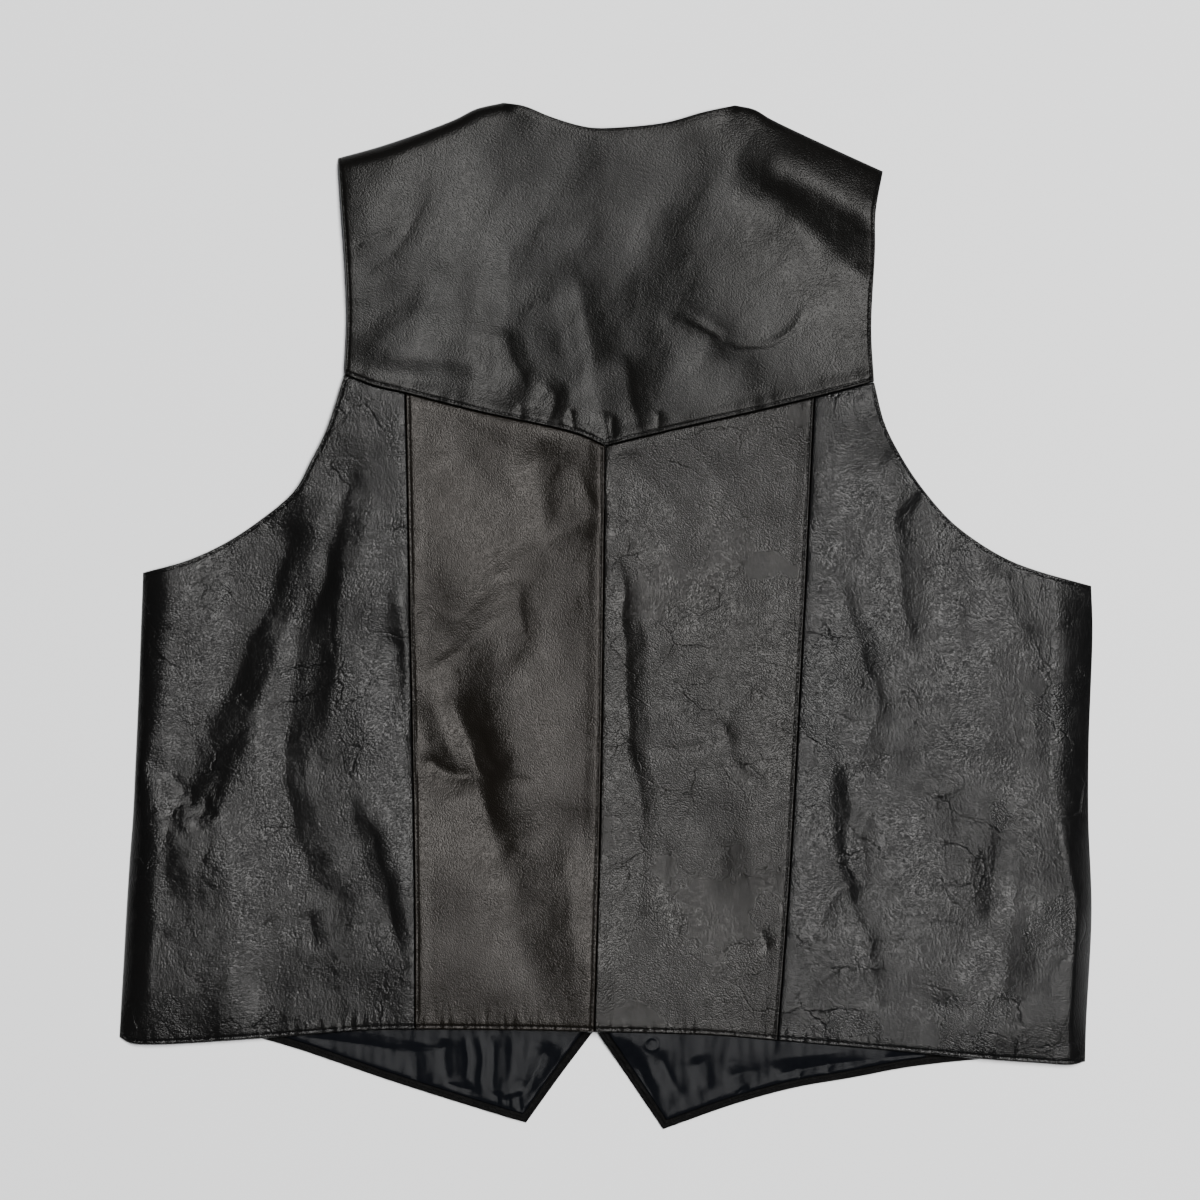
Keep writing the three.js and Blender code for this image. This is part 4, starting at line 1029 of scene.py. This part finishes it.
# x1, y1, xm, ym, x2, y2, rise, left, right, as for the back
SATIN_FOLDS = [
    (-212, -286, -170, -291, -134, -297, -1.2, 4, 5),
    (-131, -288, -131, -305, -125, -322, -1.3, 9, 7),
    (-109, -286, -109, -302, -107, -318, -1.2, 6, 5),
    (-94, -283, -94, -303, -93, -324, 0.6, 1.6, 1.6),
    (-85, -283, -84, -303, -85, -328, 0.6, 1.6, 1.6),
    (-78, -283, -77, -303, -77, -330, -0.6, 3, 2.5),
    (-62, -283, -64, -305, -68, -328, 0.5, 3, 3),
    (-37, -288, -46, -310, -60, -332, -1.3, 9, 5),
    (-24, -290, -35, -309, -47, -327, 0.6, 3, 2.5),
    (-110, -316, -98, -321, -84, -323, -0.7, 2.4, 2.4),
    (-74, -322, -74, -330, -73, -337, -1.0, 2.4, 2.4),
    (-66, -325, -65, -333, -65, -341, -1.2, 2.8, 2.8),
    (-59, -323, -58, -331, -57, -339, -1.0, 2.4, 2.4),
    (0, -286, 22, -312, 41, -338, -1.2, 7, 6),
    (12, -284, 28, -304, 40, -328, 0.7, 3, 3),
    (34, -294, 43, -312, 51, -330, -1.1, 6, 5),
    (80, -319, 94, -311, 112, -312, -0.9, 6, 5),
    (116, -314, 140, -307, 192, -301, -1.0, 3.5, 4),
    (188, -301, 205, -299, 226, -298, -0.8, 2.5, 2.5),
    (98, -301, 130, -299, 162, -297, 0.6, 4, 4),
    (60, -298, 66, -312, 71, -324, -0.9, 7, 6),
    (127, -304, 131, -311, 129, -317, -0.5, 1.6, 1.6),
    (150, -302, 151, -307, 150, -312, -0.5, 1.6, 1.6),
    (88, -328, 92, -323, 98, -321, -0.8, 2, 2),
]


def lining_face(x, y, under):
    height = under(x, y) + LEATHER + LINING_TOP
    stray_x = x + SATIN_WANDER * waves(x, y, SATIN_WANDER_SIZE, 71)
    for fold in SATIN_FOLDS:
        height += fold_height(fold, stray_x, y)
    for rise, slant, size, seed in SATIN_WRINKLES:
        height += rise * waves(x, y * slant, size, seed)
    ring = np.hypot(x - RING_PLACE[0], y - RING_PLACE[1]) - RING_RADIUS
    return height + RING_HEIGHT * bell(ring / RING_WIDTH)


satin, satin_shader, add, wire = new_material("lining_satin")
satin_place = add("ShaderNodeTexCoord").outputs["Object"]
satin_threads = add("ShaderNodeTexWave", {"bands_direction": "X"}, Vector=satin_place, Scale=900.0,
                    Distortion=1.5, Detail=2.0)
satin_slubs = add("ShaderNodeTexNoise", Vector=satin_place, Scale=240.0, Detail=3.0)
satin_weave = add("ShaderNodeBump", Height=satin_threads.outputs["Fac"], Strength=0.25,
                  Distance=0.05 * MM)
satin_bump = add("ShaderNodeBump", Height=satin_slubs.outputs["Fac"], Strength=0.6, Distance=0.12 * MM,
                 Normal=satin_weave.outputs[0])
tone_between(satin_shader, add, wire, satin_slubs, SATIN_DARK, SATIN_PALE)
wire(satin_bump.outputs[0], satin_shader.inputs["Normal"])
wire(SATIN_ROUGHNESS, satin_shader.inputs["Roughness"])
wire(SATIN_GLOSS, satin_shader.inputs["Specular IOR Level"])


def front_lining(name, sides, up, across, under, hem_line, point_line):
    plan = patch(*sides, across, *up)
    x, y = plan[..., 0], plan[..., 1]
    height = lining_face(x, y, under)
    off = np.minimum(nearest_on(hem_line, x, y)[0], nearest_on(point_line, x, y)[0]) - TURNED_WIDTH
    height -= LINING_TUCK * np.exp(-np.maximum(off, 0) / LINING_TUCK_REACH)
    floor = under(x, y) + LEATHER + FRONT_GAP / 2 + SATIN
    piece = cloth_shell(name, np.dstack([x, y, np.maximum(height, floor)]), SATIN)
    lay(piece, name.replace("satin_", ""), satin)


lining_in = TURNED_WIDTH + LINING_INSET
lining_rows = np.linspace(0, 1, LINING_ROWS)
point_rows = lining_in + lining_rows * (POINT_DEPTH - lining_in)
outer_rows = lining_in + lining_rows * (SIDE_DEPTH - lining_in)
hem_length = length_of(front_hem_left)
front_lining(
    "satin_front_lining_left", left_front_sides,
    (outer_rows / length_of(left_front_sides[0]), point_rows / length_of(left_front_sides[1])),
    np.linspace(LINING_OUTER, hem_length - lining_in, LINING_COLUMNS) / hem_length, under_left,
    front_hem_left, front_point_left)
hem_length = length_of(front_hem_right)
front_lining(
    "satin_front_lining_right", right_front_sides,
    (point_rows / length_of(right_front_sides[0]), outer_rows / length_of(right_front_sides[1])),
    np.linspace(lining_in, hem_length - LINING_OUTER, LINING_COLUMNS) / hem_length, under_right,
    front_hem_right, front_point_right)

# Stitching: black polyester thread, ten stitches to the inch or so, along the yoke seam, the princess and
# centre seams, the hem, neck and armholes of the back and the turned edges of the front points.
THREAD = 0.27
THREAD_FLATNESS = 0.8
STITCH_LENGTH = 2.15
STITCH_PROUD = 0.10
STITCH_DIVE = 0.24
THREAD_COLOUR = (0.0020, 0.0020, 0.0024)
THREAD_ROUGHNESS = 0.5
THREAD_GLOSS = 0.06

thread, thread_shader, add, wire = new_material("black_thread")
thread_place = add("ShaderNodeTexCoord").outputs["Object"]
thread_twist = add("ShaderNodeTexNoise", Vector=thread_place, Scale=2600.0, Detail=2.0)
thread_bump = add("ShaderNodeBump", Height=thread_twist.outputs["Fac"], Strength=0.6, Distance=0.1 * MM)
wire(thread_bump.outputs[0], thread_shader.inputs["Normal"])
wire((*THREAD_COLOUR, 1), thread_shader.inputs["Base Color"])
wire(THREAD_ROUGHNESS, thread_shader.inputs["Roughness"])
wire(THREAD_GLOSS, thread_shader.inputs["Specular IOR Level"])

bpy.ops.object.select_all(action="DESELECT")
bpy.ops.mesh.primitive_uv_sphere_add(segments=6, ring_count=5, radius=1, rotation=(0, math.pi / 2, 0))
one_stitch = bpy.context.object
bpy.ops.object.transform_apply(location=False, rotation=True, scale=False)
bpy.ops.object.mode_set(mode="EDIT")
bpy.ops.mesh.select_all(action="SELECT")
bpy.ops.transform.resize(value=(STITCH_LENGTH / 2, THREAD, THREAD * THREAD_FLATNESS))
bpy.ops.object.mode_set(mode="OBJECT")
stitch_points = np.array([vertex.co for vertex in one_stitch.data.vertices])
stitch_points[:, 2] -= STITCH_DIVE * (2 * stitch_points[:, 0] / STITCH_LENGTH) ** 4
stitch_faces = sorted(list(face.vertices) for face in one_stitch.data.polygons)
bpy.data.objects.remove(one_stitch)


def offset_line(line, inward):
    """A line moved sideways, to its left where inward is above 0."""
    way = np.gradient(line, axis=0)
    way /= np.linalg.norm(way, axis=1, keepdims=True)
    return line + inward * np.column_stack([-way[:, 1], way[:, 0]])


def stitched(name, rows):
    """One mesh of stitches along lines, each with its sideways offset and the height function below it."""
    points, faces = [], []
    for line, inward, height_at in rows:
        route = offset_line(evened(line, LINE_STEP), inward)
        count = int(length_of(route) / STITCH_PITCH)
        centres = places_on(route, (np.arange(count) + 0.5) / count)
        ahead = places_on(route, np.clip((np.arange(count) + 0.9) / count, 0, 1))
        ways = ahead - centres
        ways /= np.linalg.norm(ways, axis=1, keepdims=True)
        ends = [centres + ways * STITCH_LENGTH / 2 * turn for turn in (-1, 1)]
        low, high = (height_at(end[:, 0], end[:, 1]) for end in ends)
        middle = height_at(centres[:, 0], centres[:, 1])
        for centre, way, start, end, level in zip(centres, ways, low, high, middle):
            x, y, z = stitch_points.T
            spot = np.column_stack([
                centre[0] + x * way[0] - y * way[1],
                centre[1] + x * way[1] + y * way[0],
                max(level, (start + end) / 2) + STITCH_PROUD + z + x * (end - start) / STITCH_LENGTH])
            faces += [[len(points) * len(stitch_points) + corner for corner in face]
                      for face in stitch_faces]
            points.append(spot)
    piece = smooth_mesh(name, np.vstack(points), faces)
    piece.data.materials.append(thread)
    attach(piece, "root")


def stitched_panel(name, panel, rows):
    """The stitches of a back panel: each row is an edge's line, its kind, and 1 for its left side."""
    stitched(name, [
        (line, side * EDGE_KINDS[kind][0], lambda x, y: outer_height(panel, x, y))
        for line, kind, side in rows])


stitched_panel("stitching_yoke", yoke_panel, [
    (yoke_seam, "yoke", 1), (neck, "neck", -1),
    (armhole_left_high, "armhole", -1), (armhole_right_high, "armhole", 1)])
stitched_panel("stitching_side_left", side_left_panel, [
    (hem_side_left, "hem", 1), (armhole_left_low, "armhole", -1)])
stitched_panel("stitching_centre_left", centre_left_panel, [
    (hem_centre_left, "hem", 1), (princess_left, "over", -1), (centre_seam, "over", 1)])
stitched_panel("stitching_centre_right", centre_right_panel, [
    (hem_centre_right, "hem", 1), (princess_right, "over", 1)])
stitched_panel("stitching_side_right", side_right_panel, [
    (hem_side_right, "hem", 1), (armhole_right_low, "armhole", 1)])


def on_front(under, hem_line, point_line):
    return lambda x, y: turned_face(x, y, under(x, y), hem_line, point_line)


on_left = on_front(under_left, front_hem_left, front_point_left)
on_right = on_front(under_right, front_hem_right, front_point_right)
stitched("stitching_front_left", [
    (front_hem_left, FRONT_STITCH_IN, on_left), (front_point_left, FRONT_STITCH_IN, on_left)])
stitched("stitching_front_right", [
    (front_hem_right, FRONT_STITCH_IN, on_right), (front_point_right, -FRONT_STITCH_IN, on_right)])

# Press studs: four plain nickel-plated ones hold the overlapped fronts. They lie hidden under the back,
# so the construction's own studs are kept and given their metal.
STUDS = 4
NICKEL_COLOUR = (0.50, 0.48, 0.45)

nickel, nickel_shader, add, wire = new_material("dull_nickel")
nickel_place = add("ShaderNodeTexCoord").outputs["Object"]
nickel_wear = add("ShaderNodeTexNoise", Vector=nickel_place, Scale=900.0, Detail=4.0)
nickel_gloss = add("ShaderNodeMapRange", Value=nickel_wear.outputs["Fac"], To_Min=0.25, To_Max=0.45)
wire(nickel_gloss.outputs[0], nickel_shader.inputs["Roughness"])
wire((*NICKEL_COLOUR, 1), nickel_shader.inputs["Base Color"])
wire(1.0, nickel_shader.inputs["Metallic"])
for number in range(1, STUDS + 1):
    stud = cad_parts[f"stud_{number}"]
    stud.data.materials.clear()
    stud.data.materials.append(nickel)
